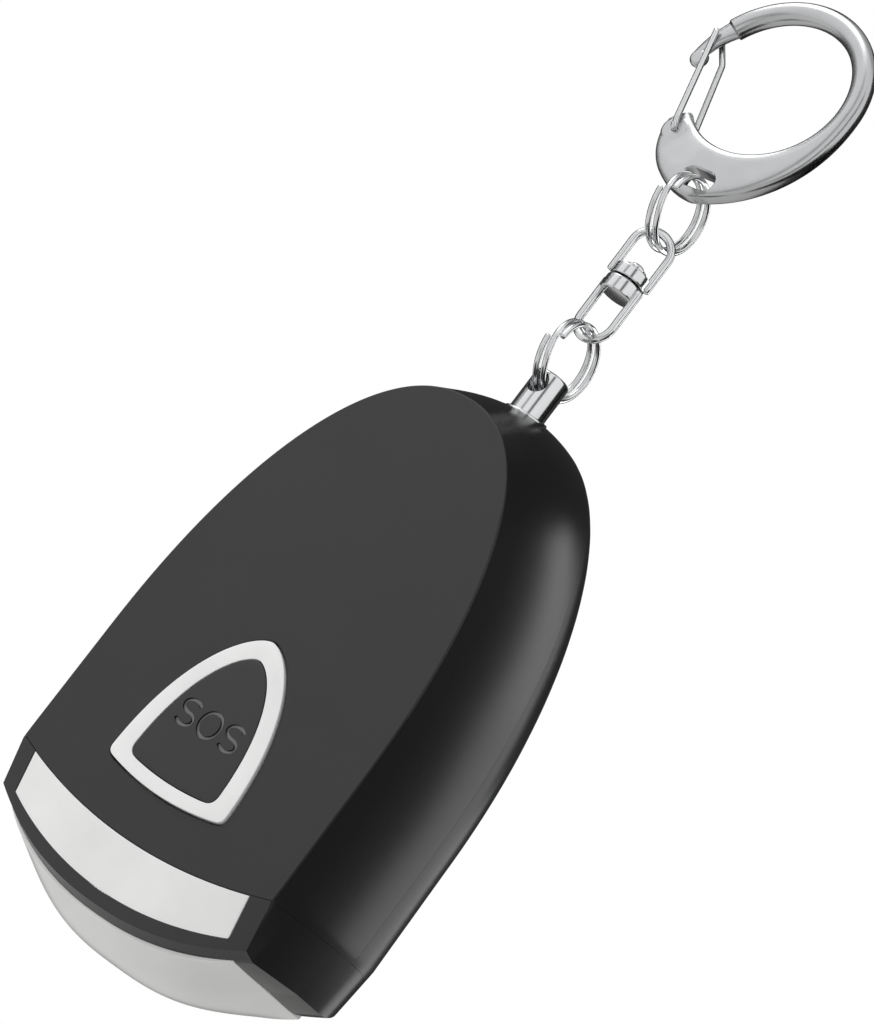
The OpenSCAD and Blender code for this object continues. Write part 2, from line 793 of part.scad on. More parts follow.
// Rounded cross-section of the bar at an angle, as [radius, y] points
function bar_section(a) =
    let (r0 = hook_in(a), r1 = hook_out(a), t = hook_thick(a), c = min(0.8, t * 0.4))
    [[r0, -t / 2 + c], [r0 + c * 0.3, -t / 2 + c * 0.3], [r0 + c, -t / 2], [r1 - c, -t / 2],
     [r1 - c * 0.3, -t / 2 + c * 0.3], [r1, -t / 2 + c], [r1, t / 2 - c], [r1 - c * 0.3, t / 2 - c * 0.3],
     [r1 - c, t / 2], [r0 + c, t / 2], [r0 + c * 0.3, t / 2 - c * 0.3], [r0, t / 2 - c]];

hook_angles = concat(
    [for (a = [ear_end:8:-90]) a], [for (a = [-80:10:140]) a],
    [neck_start - 0.5, neck_start + 0.5, 160, 169, nose_end]);

module hook_bar_sweep() {
    n = 12;
    m = len(hook_angles);
    points = [for (a = hook_angles) for (p = bar_section(a)) [p[0] * cos(a), p[1], p[0] * sin(a)]];
    faces = [for (i = [0:m - 2]) for (k = [0:n - 1]) let (q = (k + 1) % n)
        each [[i * n + k, (i + 1) * n + q, i * n + q], [i * n + k, (i + 1) * n + k, (i + 1) * n + q]]];
    first = [for (k = [0:n - 1]) k];
    last = [for (k = [n - 1:-1:0]) (m - 1) * n + k];
    polyhedron(points, concat(faces, [first, last]));
}

module hook() {
    nose_r = hook_bar * 0.42;
    eye_half = (eye_w - eye_h) / 2;
    color("#cccecf") hung() translate([0, 0, hook_z]) difference() {
        union() {
            hook_bar_sweep();
            translate([ear_x, 0, ear_dz]) bar_y(ear_r, -ear_t / 2, ear_t / 2);
            rotate([0, -nose_end, 0]) translate([hook_r + hook_bar - nose_r, 0, 0])
                bar_y(nose_r, -neck_t / 2, neck_t / 2);
        }
        for (x = [-eye_half, eye_half]) translate([x, 0, -eye_drop]) bar_y(eye_h / 2, -hook_t, hook_t);
        translate([-eye_half, -hook_t, -eye_drop - eye_h / 2]) cube([2 * eye_half, 2 * hook_t, eye_h]);
        translate([ear_x, 0, ear_dz]) bar_y(gate_wire / 2 + gate_hole_clear, -hook_t, hook_t);
    }
}

// Straight round wire between two points
module rod(p, q, d) {
    v = q - p;
    translate(p) rotate([0, acos(v[2] / norm(v)), atan2(v[1], v[0])]) cylinder(d = d, h = norm(v), $fn = 24);
}

module hook_gate() {
    pivot = [ear_x, 0, ear_dz];
    tip = pivot + gate_len * [-sin(gate_lean), 0, cos(gate_lean)];
    color("#c8cacc") hung() translate([0, 0, hook_z]) {
        translate(pivot) bar_y(gate_wire / 2, -gate_side - gate_wire / 2, gate_side + gate_wire / 2);
        for (side = [-1, 1])
            rod(pivot + [0, side * gate_side, 0], tip + [0, side * gate_tip_side, 0], gate_wire - leg_draw);
    }
}

front_cover();
rear_cover();
end_cap();
front_light_bar();
end_lens();
button_light_ring();
sos_button();
switch_plunger();
button_switch();
circuit_board();
leds();
siren();
siren_gasket();
coin_cells();
battery_contact();
battery_door();
housing_screws();
pin_collar();
pin_socket();
pin_seal();
pull_switch();
pull_pin();
lower_split_ring();
swivel_lower_loop();
swivel_lower_drum();
swivel_rivet();
swivel_upper_drum();
swivel_upper_loop();
upper_split_ring();
hook();
hook_gate();
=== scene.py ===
import bmesh
import bpy
import numpy as np
from mathutils import Matrix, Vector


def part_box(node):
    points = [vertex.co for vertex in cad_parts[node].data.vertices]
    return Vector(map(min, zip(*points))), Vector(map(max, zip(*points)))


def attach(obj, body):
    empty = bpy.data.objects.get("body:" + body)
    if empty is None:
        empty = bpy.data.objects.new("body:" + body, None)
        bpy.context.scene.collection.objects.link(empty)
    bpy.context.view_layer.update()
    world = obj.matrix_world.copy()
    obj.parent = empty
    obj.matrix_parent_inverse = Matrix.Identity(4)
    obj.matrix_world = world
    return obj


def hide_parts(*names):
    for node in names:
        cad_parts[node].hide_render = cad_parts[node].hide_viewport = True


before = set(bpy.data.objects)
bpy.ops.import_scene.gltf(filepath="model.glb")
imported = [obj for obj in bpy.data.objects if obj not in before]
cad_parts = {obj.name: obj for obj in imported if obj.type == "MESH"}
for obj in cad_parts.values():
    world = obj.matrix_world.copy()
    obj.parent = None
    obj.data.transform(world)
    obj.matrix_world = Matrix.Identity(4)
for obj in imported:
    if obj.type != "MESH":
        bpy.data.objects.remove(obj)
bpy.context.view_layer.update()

# Front cover: the shell with the flat arched face and the drafted sides.
# Moulded in grey nylon, grained on the face and smoother on the sides.
# Screws from behind clamp it to the rear cover, and the end cap closes it below.
mm = 0.001
body_top = 66.0
corner_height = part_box("front_cover")[1].z / mm - body_top
face_half = 20.7
front_y = -12.0
back_y = 14.0
draft_depth = 3.0
swell_depth = 15.0
side_swell = 2.1
top_swell = 5.8
side_top = 16.0
taper_top = 2.0
arch_power = 2.2
arch_ease = 0.15
end_power = 2.2
back_round = 8.0
round_y = back_y - back_round
end_draw = 0.65
side_draw = 0.65
arch_draw = 0.72
top_draw = 2.4
wall = 1.8
parting_y = 5.0
seam = 0.03
edge_bevel = 0.1
crease_r = 68.0
crease_dip = 3.0
station_y = [front_y, -10.0, -8.0, 1.0, round_y]
station_corner_in = [0.02, 0.6, 0.84, 0.8, 0.7]
station_corner_z = [0.2, -5.5, -6.0, -5.5, -5.5]
station_bulge = [3.2, 5.15, 5.5, 5.4, 5.4]
ring_half = 9.45
ring_height = 21.3
ring_low = 2.86
ring_lift = 0.94
ring_corner = 1.0
opening_gap = 0.2
opening_flare = 0.15
opening_depth = 6.0
pin_opening_r = 2.86
pin_opening_low = body_top - 8.0
pin_opening_high = body_top + 6.0
side_rough = 0.23
# Colour of the sides: darker than the face as painted shade, where the sides turn away from the light.
side_shade_tone = "1d1d1e"


def mesh_piece(name, points, faces, sharp=32):
    """Object at the origin from points in millimetres over the face's lower corners.

    Doubles are merged, faces turned outwards, and edges sharper than an angle stay crisp.
    """
    mesh = bpy.data.meshes.new(name)
    placed = (np.asarray(points, float) + [0.0, 0.0, corner_height]) * mm
    mesh.from_pydata(placed.tolist(), [], faces)
    work = bmesh.new()
    work.from_mesh(mesh)
    bmesh.ops.remove_doubles(work, verts=work.verts, dist=1e-7)
    bmesh.ops.recalc_face_normals(work, faces=work.faces)
    work.to_mesh(mesh)
    work.free()
    mesh.shade_smooth()
    mesh.set_sharp_from_angle(angle=np.radians(sharp))
    piece = bpy.data.objects.new(name, mesh)
    bpy.context.scene.collection.objects.link(piece)
    return piece


def lofted(name, rows, joined=False, sharp=32):
    """Surface through closed rows of points: each quad spans two neighbours in a row and in the next.

    The first and last rows are closed by a face, or joined to each other.
    """
    rows = np.asarray(rows, float)
    count, around = rows.shape[:2]
    index = np.arange(count * around).reshape(count, around)
    upper = np.roll(index, -1, axis=0) if joined else index[1:]
    lower = index if joined else index[:-1]
    quads = np.stack([lower, np.roll(lower, -1, 1), np.roll(upper, -1, 1), upper], -1)
    faces = quads.reshape(-1, 4).tolist()
    if not joined:
        faces += [index[0, ::-1].tolist(), index[-1].tolist()]
    return mesh_piece(name, rows.reshape(-1, 3), faces, sharp)


def turned(name, profile, centre=(0, 0, 0), axis="Z", around=128, sharp=32):
    """Profile of (radius, height) points turned about an axis through a centre."""
    profile = np.asarray(profile, float)
    angle = np.linspace(0, 2 * np.pi, around, endpoint=False)
    radius = profile[:, :1]
    height = profile[:, 1:] + 0 * angle
    across = radius * np.cos(angle)
    along = radius * np.sin(angle)
    order = [across, along, height] if axis == "Z" else [across, height, along]
    return lofted(name, np.stack(order, -1) + np.asarray(centre, float), sharp=sharp)


def applied(piece):
    """Piece with its modifiers made part of its mesh."""
    shown = piece.evaluated_get(bpy.context.evaluated_depsgraph_get())
    mesh = bpy.data.meshes.new_from_object(shown)
    piece.modifiers.clear()
    piece.data = mesh
    return piece


def carved(piece, tools, operation="DIFFERENCE", sharp=32):
    """Piece with solid tools cut away, met or added one after another; the tools are used up."""
    for tool in tools:
        step = piece.modifiers.new("carve", "BOOLEAN")
        step.operation = operation
        step.solver = "MANIFOLD"
        step.object = tool
        applied(piece)
        bpy.data.objects.remove(tool)
    piece.data.shade_smooth()
    piece.data.set_sharp_from_angle(angle=np.radians(sharp))
    return piece


def swell(y):
    """Share of the full swell by depth: a straight draft, then a parabola into the widest section."""
    straight = np.minimum(y - front_y, draft_depth)
    past = np.clip(y - front_y - draft_depth, 0.0, swell_depth)
    return (straight + past - past ** 2 / (2 * swell_depth)) / (draft_depth + swell_depth / 2)


def body_rows(inset, past=0.0):
    """Closed outlines of the body from face to back, drawn in by an inset.

    End arc z = corner_z - bulge (1 - (x / corner_x)^2.2), tapered corners, straight sides and the arch
    |x / w|^p + |(z - side_top) / (top - side_top)|^p = 1, where p falls from 2.2 at the face; the back
    edge is a quarter round.
    """
    bevel = edge_bevel if inset == 0 else 0.0
    walls = np.concatenate([
        np.linspace(front_y + bevel, station_y[1], 6), np.linspace(station_y[1] + 0.2, station_y[2], 5),
        np.linspace(station_y[2] + 0.5, round_y, 28)])
    turn = np.radians(np.linspace(0, 90, 20))[1:]
    reach = back_round - inset
    draw = np.concatenate([[bevel], 0 * walls, reach * (1 - np.cos(turn))])
    end_in = np.concatenate([[bevel], 0 * walls, end_draw * reach * (1 - np.cos(turn))]) + inset
    level = np.concatenate([[front_y], walls, 0 * turn + round_y])
    front_in = inset * np.clip((round_y - level) / (round_y - station_y[1]), 0, 1) ** 0.2
    depth = np.concatenate([[front_y], walls, round_y + reach * np.sin(turn)]) + front_in
    depth[-1] += past
    grown = swell(level)
    widest = face_half + side_swell * grown - inset
    half = (widest - side_draw * draw)[:, None]
    arch_half = (widest - arch_draw * draw)[:, None]
    top = (body_top - top_swell * (1 - grown) - inset - top_draw * draw)[:, None]
    power = (arch_power - arch_ease * grown)[:, None]
    corner_x = half - np.interp(level, station_y, station_corner_in)[:, None]
    corner_z = (np.interp(level, station_y, station_corner_z) + end_in)[:, None]
    bulge = np.interp(level, station_y, station_bulge)[:, None]
    along = np.linspace(0, 1, 70)
    rise = np.linspace(0, 1, 12)[1:]
    sweep = np.linspace(0, np.pi / 2, 130)[1:]
    arch_x = np.clip(np.cos(sweep), 0, 1) ** (2 / power)
    arch_z = np.sin(sweep) ** (2 / power)
    x = np.concatenate([
        corner_x * along, corner_x + (half - corner_x) * rise,
        half + (arch_half - half) * rise, arch_half * arch_x], 1)
    z = np.concatenate([
        corner_z - bulge * (1 - along ** end_power), corner_z + (taper_top - corner_z) * rise,
        taper_top + (side_top - taper_top) * rise + 0 * half, side_top + (top - side_top) * arch_z], 1)
    x = np.concatenate([x, -x[:, -2:0:-1]], 1)
    z = np.concatenate([z, z[:, -2:0:-1]], 1)
    return np.stack([x, depth[:, None] + 0 * x, z], -1)


def crease_solid(name, y0, y1, lift, chamfer=0.0):
    """Wide cylinder along Y above the crease, chamfered at the face."""
    reach = [[0, y0], [crease_r - chamfer - (front_y - y0) * (chamfer > 0), y0]]
    if chamfer > 0:
        reach += [[crease_r, front_y + chamfer]]
    profile = reach + [[crease_r, y1], [0, y1]]
    return turned(name, profile, (0, 0, crease_r - crease_dip + lift), "Y", 720)


def evened(loop, count):
    """Closed loop resampled to points at equal steps along its length."""
    closed = np.concatenate([loop, loop[:1]])
    length = np.concatenate([[0], np.cumsum(np.linalg.norm(np.diff(closed, axis=0), axis=1))])
    step = np.linspace(0, length[-1], count, endpoint=False)
    return np.stack([np.interp(step, length, closed[:, i]) for i in range(2)], 1)


def grown_loop(loop, distance):
    """Anticlockwise loop moved outwards along its normals by a distance."""
    along = np.roll(loop, -1, 0) - np.roll(loop, 1, 0)
    out = np.stack([along[:, 1], -along[:, 0]], 1)
    return loop + distance * out / np.linalg.norm(out, axis=1, keepdims=True)


def key_loop(half, height, low, lift, corner, count=360):
    """Rounded triangle (x, z): x = half (1 - (h / height)^2.3)^0.62, round lower corners, bowed base."""
    u = np.sin(np.linspace(0, np.pi / 2, 160))
    h = lift + (height - lift) * u
    c = np.maximum(0, corner - (h - lift))
    x = half * np.maximum(0, 1 - (h / height) ** 2.3) ** 0.62 - corner + np.sqrt(corner ** 2 - c ** 2)
    x[-1] = 0
    base = np.linspace(0, 1, 40)[:-1]
    right = np.concatenate([np.stack([x[0] * base, lift * base ** 2], 1), np.stack([x, h], 1)])
    loop = np.concatenate([right, right[-2:0:-1] * [-1, 1]])
    loop = evened(loop, count)
    for _ in range(3):
        loop = (np.roll(loop, 1, 0) + 2 * loop + np.roll(loop, -1, 0)) / 4
    return loop + [0, low]


def standing(loop, y):
    """Loop of (x, z) points stood at a depth."""
    return np.stack([loop[:, 0], 0 * loop[:, 0] + y, loop[:, 1]], 1)


ring_loop = key_loop(ring_half, ring_height, ring_low, ring_lift, ring_corner)
opening = grown_loop(ring_loop, opening_gap)
flare = grown_loop(opening, opening_flare)
key_opening = lofted("key_opening", [
    standing(flare, front_y - opening_flare / 3), standing(opening, front_y + edge_bevel),
    standing(opening, front_y + opening_depth)])
front_cover = carved(
    lofted("front_shell", body_rows(0)),
    [crease_solid("crease", front_y - 0.5, parting_y, seam, edge_bevel)], "INTERSECT")
pin_opening = turned("pin_opening", [
    [0, pin_opening_low], [pin_opening_r, pin_opening_low],
    [pin_opening_r, pin_opening_high], [0, pin_opening_high]])
carved(front_cover, [lofted("cavity", body_rows(wall)), key_opening, pin_opening])


def flat_shaded(piece):
    """Piece with its normals weighted by face area, so a flat face shades flat up to its rounded edge."""
    step = piece.modifiers.new("even", "WEIGHTED_NORMAL")
    step.weight = 100
    step.keep_sharp = True
    return applied(piece)


flat_shaded(front_cover)


def math_node(nodes, operation, second=None):
    """Math node, with its second value set where that is fixed."""
    node = nodes.new("ShaderNodeMath")
    node.operation = operation
    if second is not None:
        node.inputs[1].default_value = second
    return node


def range_node(nodes, low, high, to_low=0.0, to_high=1.0):
    """Map Range node from one pair of values to another."""
    node = nodes.new("ShaderNodeMapRange")
    for socket, value in (("From Min", low), ("From Max", high), ("To Min", to_low), ("To Max", to_high)):
        node.inputs[socket].default_value = value
    return node


def noise_node(nodes, link, scale, detail):
    """Noise node on Object coordinates."""
    place = nodes.new("ShaderNodeTexCoord")
    node = nodes.new("ShaderNodeTexNoise")
    node.inputs["Scale"].default_value = scale
    node.inputs["Detail"].default_value = detail
    link(place.outputs["Object"], node.inputs["Vector"])
    return node


def effect_group(name, inputs):
    """Node group of a finish with its inputs' defaults; it puts out Colour, Roughness and Height."""
    group = bpy.data.node_groups.new(name, "ShaderNodeTree")
    kinds = {"Colour": "NodeSocketColor"}
    for socket, value in inputs.items():
        kind = kinds.get(socket, "NodeSocketFloat")
        group.interface.new_socket(socket, in_out="INPUT", socket_type=kind).default_value = value
    for socket in ("Colour", "Roughness", "Height"):
        kind = kinds.get(socket, "NodeSocketFloat")
        group.interface.new_socket(socket, in_out="OUTPUT", socket_type=kind)
    return group, group.nodes.new("NodeGroupInput"), group.nodes.new("NodeGroupOutput")


def drifting_tone(group, start, end, noise, low, high):
    """Puts out a group's colour scaled by a noise, between two shares of it."""
    nodes, link = group.nodes, group.links.new
    shade = range_node(nodes, 0.0, 1.0, low, high)
    tint = nodes.new("ShaderNodeVectorMath")
    tint.operation = "SCALE"
    link(noise.outputs["Fac"], shade.inputs["Value"])
    link(start.outputs["Colour"], tint.inputs[0])
    link(shade.outputs["Result"], tint.inputs["Scale"])
    link(tint.outputs["Vector"], end.inputs["Colour"])


def moulded_grain():
    """Shared effect of moulded plastic: grain height, slight colour drift and handled roughness."""
    group, start, end = effect_group("moulded_grain", {
        "Colour": (0.05, 0.05, 0.05, 1), "Grain Scale": 4000, "Roughness": 0.5, "Handling": 0.08})
    nodes, link = group.nodes, group.links.new
    grain = noise_node(nodes, link, 4000, 3)
    drift = noise_node(nodes, link, 120, 4)
    link(start.outputs["Grain Scale"], grain.inputs["Scale"])
    drifting_tone(group, start, end, drift, 0.9, 1.1)
    centred = math_node(nodes, "SUBTRACT", 0.5)
    handled = math_node(nodes, "MULTIPLY_ADD")
    link(drift.outputs["Fac"], centred.inputs[0])
    link(centred.outputs[0], handled.inputs[0])
    link(start.outputs["Handling"], handled.inputs[1])
    link(start.outputs["Roughness"], handled.inputs[2])
    link(handled.outputs[0], end.inputs["Roughness"])
    link(grain.outputs["Fac"], end.inputs["Height"])
    return group


grain_group = moulded_grain()


def colour(text):
    """Linear colour of an sRGB value written as six hexadecimal digits."""
    value = np.array([int(text[i:i + 2], 16) for i in (0, 2, 4)]) / 255
    return (*np.where(value <= 0.04045, value / 12.92, ((value + 0.055) / 1.055) ** 2.4), 1.0)


def fresh_material(name):
    """New material with its nodes, its link call and its shader."""
    material = bpy.data.materials.new(name)
    material.use_nodes = True
    nodes = material.node_tree.nodes
    return material, nodes, material.node_tree.links.new, nodes["Principled BSDF"]


def finished(name, group, values, strength, depth, **sockets):
    """Material whose colour, roughness and bump come from a shared effect; the rest is set plainly."""
    material, nodes, link, shader = fresh_material(name)
    for socket, value in sockets.items():
        shader.inputs[socket.replace("_", " ")].default_value = value
    effect = nodes.new("ShaderNodeGroup")
    effect.name = "effect"
    effect.node_tree = group
    for socket, value in values.items():
        effect.inputs[socket].default_value = value
    bump = nodes.new("ShaderNodeBump")
    bump.inputs["Strength"].default_value = strength
    bump.inputs["Distance"].default_value = depth * mm
    link(effect.outputs["Colour"], shader.inputs["Base Color"])
    link(effect.outputs["Roughness"], shader.inputs["Roughness"])
    link(effect.outputs["Height"], bump.inputs["Height"])
    link(bump.outputs["Normal"], shader.inputs["Normal"])
    return material


def plastic(name, tone, rough, grain_size, depth, handling=0.08, **sockets):
    """Moulded plastic of a tone and a roughness, with its grain's size and depth in millimetres."""
    values = {"Colour": colour(tone), "Grain Scale": 1 / (grain_size * mm), "Roughness": rough,
              "Handling": handling}
    return finished(name, grain_group, values, 0.5, depth, **sockets)


def split_place(nodes, link, output="Object"):
    """X, Y and Z sockets of the Object coordinates or of the Normal."""
    place = nodes.new("ShaderNodeTexCoord")
    split = nodes.new("ShaderNodeSeparateXYZ")
    link(place.outputs[output], split.inputs["Vector"])
    return split.outputs


def mixed(nodes, link, kind, mask, first, second):
    """Output that goes from a first socket, where a mask is 0, to a fixed second value, where it is 1."""
    node = nodes.new("ShaderNodeMix")
    node.data_type = kind
    node.inputs["B"].default_value = second
    link(mask, node.inputs["Factor"])
    link(first, node.inputs["A"])
    return node.outputs["Result"]


def smoothed_and_side_shaded(material, mask):
    """Gives a plastic the smoother finish of the sides where a mask is 1, with a darker colour there that is
    painted side shade.
    """
    nodes, link = material.node_tree.nodes, material.node_tree.links.new
    effect = nodes["effect"].outputs
    shader = nodes["Principled BSDF"].inputs
    link(mixed(nodes, link, "FLOAT", mask, effect["Roughness"], side_rough), shader["Roughness"])
    link(mixed(nodes, link, "RGBA", mask, effect["Colour"], colour(side_shade_tone)), shader["Base Color"])


def dress(piece, material, body, slot, *nodes):
    """Puts a material on a piece, has it ride on its body and stand for its CAD nodes."""
    piece.data.materials.clear()
    piece.data.materials.append(material)
    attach(piece, body)
    if nodes:
        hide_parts(*nodes)
    return piece


cover_finish = plastic("cover_grey_plastic", "2b2b2c", 0.55, 0.22, 0.012, Specular_IOR_Level=0.3)
nodes, link = cover_finish.node_tree.nodes, cover_finish.node_tree.links.new
behind_face = range_node(nodes, (front_y + 0.05) * mm, (front_y + 0.35) * mm)
link(split_place(nodes, link)["Y"], behind_face.inputs["Value"])
# Behind the face's edge the cover gets its smoother side finish and a darker colour that is painted side
# shade.
smoothed_and_side_shaded(cover_finish, behind_face.outputs["Result"])
front_cover.name = "front_cover_shell"
dress(front_cover, cover_finish, "alarm", "cover_grey", "front_cover")

# End cap: the black bezel that closes the wide end, sloping below the face.
# Moulded in black ABS with a window for the light bar and one for the end lens.
# It snaps over the lower edges of both covers.
bar_half = 18.0
bar_r = 47.0
bar_dip = 9.35
bar_overlap = 0.3
lens_half = 18.8
lens_front = -8.3
lens_back = 9.0
lens_corner = 0.5
window_fit = 0.05


def window_loop(count=360):
    """Rounded rectangle (x, y) of the end window: four quarter rounds joined by straight sides."""
    turn = np.radians(np.linspace(0, 90, 24))
    right = lens_half - lens_corner
    near = lens_front + lens_corner
    far = lens_back - lens_corner
    corners = [[right, near], [right, far], [-right, far], [-right, near]]
    starts = np.radians([-90, 0, 90, 180])
    loop = np.concatenate([
        np.stack([x + lens_corner * np.cos(start + turn), y + lens_corner * np.sin(start + turn)], 1)
        for (x, y), start in zip(corners, starts)])
    return evened(loop, count)


def laid(loop, z):
    """Loop of (x, y) points laid at a height."""
    return np.stack([loop[:, 0], loop[:, 1], 0 * loop[:, 0] + z], 1)


def bar_low(x):
    """Height of the light bar's lower edge: an arc of its own radius."""
    return bar_r - bar_dip - np.sqrt(bar_r ** 2 - x ** 2)


def crease(x):
    """Height of the crease below the face: an arc of a larger radius."""
    return crease_r - crease_dip - np.sqrt(crease_r ** 2 - x ** 2)


def bar_loop(inset, count=360):
    """Outline (x, z) of the light bar between the crease and its lower arc, with small round corners."""
    reach = bar_half - inset
    x = np.linspace(-reach, reach, 400)
    low = np.stack([x, bar_low(x) + inset], 1)
    high = np.stack([x, crease(x) - inset], 1)[::-1]
    loop = evened(np.concatenate([low, high]), 4 * count)
    for _ in range(8):
        loop = (np.roll(loop, 1, 0) + 2 * loop + np.roll(loop, -1, 0)) / 4
    return evened(loop, count)


bar_cut = bar_loop(-window_fit) + [0, bar_overlap]
bar_window = lofted("bar_window", [standing(bar_cut, front_y - 1), standing(bar_cut, station_y[2])])
end_window = lofted("end_window", [laid(window_loop(), -25), laid(window_loop(), 0.5)])
end_cap = carved(lofted("end_cap_bezel", body_rows(0)), [
    crease_solid("crease", front_y - 9, back_y + 9, 0), lofted("cavity", body_rows(wall)),
    bar_window, end_window])
cap_finish = plastic("cap_black_plastic", "2e2e2f", 0.45, 0.3, 0.006, Specular_IOR_Level=0.3)
nodes, link = cap_finish.node_tree.nodes, cap_finish.node_tree.links.new
# Faces turned sideways or down get the smoother side finish and the darker side colour, which is painted
# shade.
facing = split_place(nodes, link, "Normal")
sideways = math_node(nodes, "ABSOLUTE")
on_side = range_node(nodes, 0.4, 0.55)
on_end = range_node(nodes, -0.75, -0.9)
on_either = math_node(nodes, "MAXIMUM")
link(facing["X"], sideways.inputs[0])
link(sideways.outputs[0], on_side.inputs["Value"])
link(facing["Z"], on_end.inputs["Value"])
link(on_side.outputs["Result"], on_either.inputs[0])
link(on_end.outputs["Result"], on_either.inputs[1])
smoothed_and_side_shaded(cap_finish, on_either.outputs[0])
dress(end_cap, cap_finish, "alarm", "cap_black", "end_cap")

# Light bar: the curved window that lights up below the face.
# Moulded in milky polycarbonate, so the lamps behind it spread to an even glow.
# It is glued into the end cap's front window, flush with the slope.
bar_thick = 1.5
edge_round = 0.12
slope_foot_half = 20.42
round_turn = np.radians(np.linspace(0, 90, 6))


def end_arc(x, half, station):
    """Height of the body's end at a station: corner_z - bulge (1 - |x / half|^2.2)."""
    share = np.clip(np.abs(x) / half, 0, 1)
    return station_corner_z[station] - station_bulge[station] * (1 - share ** end_power)


def slope_y(x, z):
    """Depth of the sloping front: straight from the face's lower end arc back to the next station's."""
    top = end_arc(x, face_half - station_corner_in[0], 0)
    low = end_arc(x, slope_foot_half, 1)
    return front_y + (station_y[1] - front_y) * (top - z) / (top - low)


def bar_sections():
    """Sections across the bar by x: the front follows the slope between the two arcs, with round edges."""
    share = np.concatenate([[-1, -0.999, -0.996], np.linspace(-0.994, 0.994, 161), [0.996, 0.999, 1]])
    x = share * (bar_half - window_fit)
    end = edge_round * np.array([1, 0.35, 0.08] + [0] * 161 + [0.08, 0.35, 1])[:, None]
    rim = edge_round * np.sin(round_turn)
    sink = edge_round * (1 - np.cos(round_turn))
    low = bar_low(x)[:, None] + window_fit
    high = crease(x)[:, None] - window_fit
    front = low + edge_round + (high - low - 2 * edge_round) * np.linspace(0, 1, 12)[1:-1]
    z = np.concatenate([low, low + edge_round - rim[::-1], front, high - edge_round + rim, high], 1)
    depth = np.concatenate([[bar_thick], sink[::-1], np.zeros(10), sink, [bar_thick]])
    across = x[:, None] + 0 * z
    return np.stack([across, slope_y(across, z) + np.maximum(depth + 0 * z, end), z], -1)


front_light_bar = lofted("front_light_window", bar_sections())
glow_finish = plastic(
    "milky_plastic", "e6e6e6", 0.32, 0.5, 0.003, 0.05,
    Subsurface_Weight=0.2, Subsurface_Scale=0.0006, Subsurface_Radius=(1, 1, 1))
dress(front_light_bar, glow_finish, "alarm", "light_white", "front_light_bar")

# End lens: the large domed lens of the torch and flash lamps.
# Moulded in milky polycarbonate with a thick wall that scatters the light.
# Its skirt is pressed up into the end cap's window.
lens_skirt = -3.7
lens_end_z = -7.1
lens_rim_bow = 4.45
lens_bulge = 2.95
lens_middle_y = 0.35
lens_half_y = 8.65
lens_rim = 0.15


def lens_z(x, y):
    """Height of the dome: a bowed rim end_z - bow (1 - |x|^2.6), less a bulge (1 - |x|^3.4) (1 - y^2)."""
    u = np.clip(np.abs(x) / lens_half, 0, 1)
    v = (y - lens_middle_y) / lens_half_y
    return lens_end_z - lens_rim_bow * (1 - u ** 2.6) - lens_bulge * (1 - u ** 3.4) * (1 - v ** 2)


def lens_sections():
    """Sections across the lens by x: skirt, rounded rim, dome lens_z, rounded rim and skirt."""
    x = np.sin(np.linspace(-np.pi / 2, np.pi / 2, 161)) * (lens_half - window_fit)
    rim = lens_rim * (1 - np.cos(round_turn))
    sink = lens_rim * (1 - np.sin(round_turn))
    near = lens_front + window_fit
    far = lens_back - window_fit
    dome = np.linspace(near + lens_rim, far - lens_rim, 60)[1:-1]
    y = np.concatenate([[near], near + rim, dome, far - rim[::-1], [far]])
    lift = np.concatenate([[0], sink, 0 * dome, sink[::-1], [0]])
    across = x[:, None] + 0 * y
    along = y + 0 * across
    z = lens_z(across, along) + lift
    z[:, [0, -1]] = lens_skirt
    return np.stack([across, along, z], -1)


end_lens = lofted("end_lens_dome", lens_sections())
lens_finish = plastic(
    "lens_plastic", "d6d6d6", 0.25, 0.6, 0.003, 0.05,
    Subsurface_Weight=0.2, Subsurface_Scale=0.0008, Subsurface_Radius=(1, 1, 1))
dress(end_lens, lens_finish, "alarm", "light_white", "end_lens")

# Button light ring: the milky frame of the key, lit round its edge.
# Moulded in the same polycarbonate as the light bar, with a flange that keeps it behind the face.
# It is joined to the button, and both move together.
key_proud = 0.3
key_gap = 0.3
key_face = front_y - key_proud
key_back = front_y + wall + key_gap
flange_out = 0.9
flange_thick = 0.8
button_half = 6.9
button_height = 16.9
button_low = 4.63
button_lift = 0.4
button_corner = 1.3
button_gap = 0.1
key_round = 0.09
ring_inner_round = 0.05
button_edge = key_loop(button_half, button_height, button_low, button_lift, button_corner)
ring_inside = grown_loop(button_edge, button_gap)


def rounded_rim(loop, y, inward, radius=key_round):
    """Rows of a quarter round at a front edge: the loop moves over by r (1 - cos), forward by r sin."""
    return [standing(grown_loop(loop, inward * radius * (1 - np.cos(t))), y + radius * (1 - np.sin(t)))
            for t in round_turn]


ring_rows = [standing(ring_inside, key_back + flange_thick)]
ring_rows += rounded_rim(ring_inside, key_face, 1, ring_inner_round)
ring_rows += rounded_rim(ring_loop, key_face, -1)[::-1]
flange_loop = grown_loop(ring_loop, flange_out)
ring_rows += [standing(ring_loop, key_back), standing(flange_loop, key_back),
              standing(flange_loop, key_back + flange_thick)]
light_ring = lofted("button_light_frame", ring_rows, joined=True)
dress(light_ring, glow_finish, "button", "light_white", "button_light_ring")

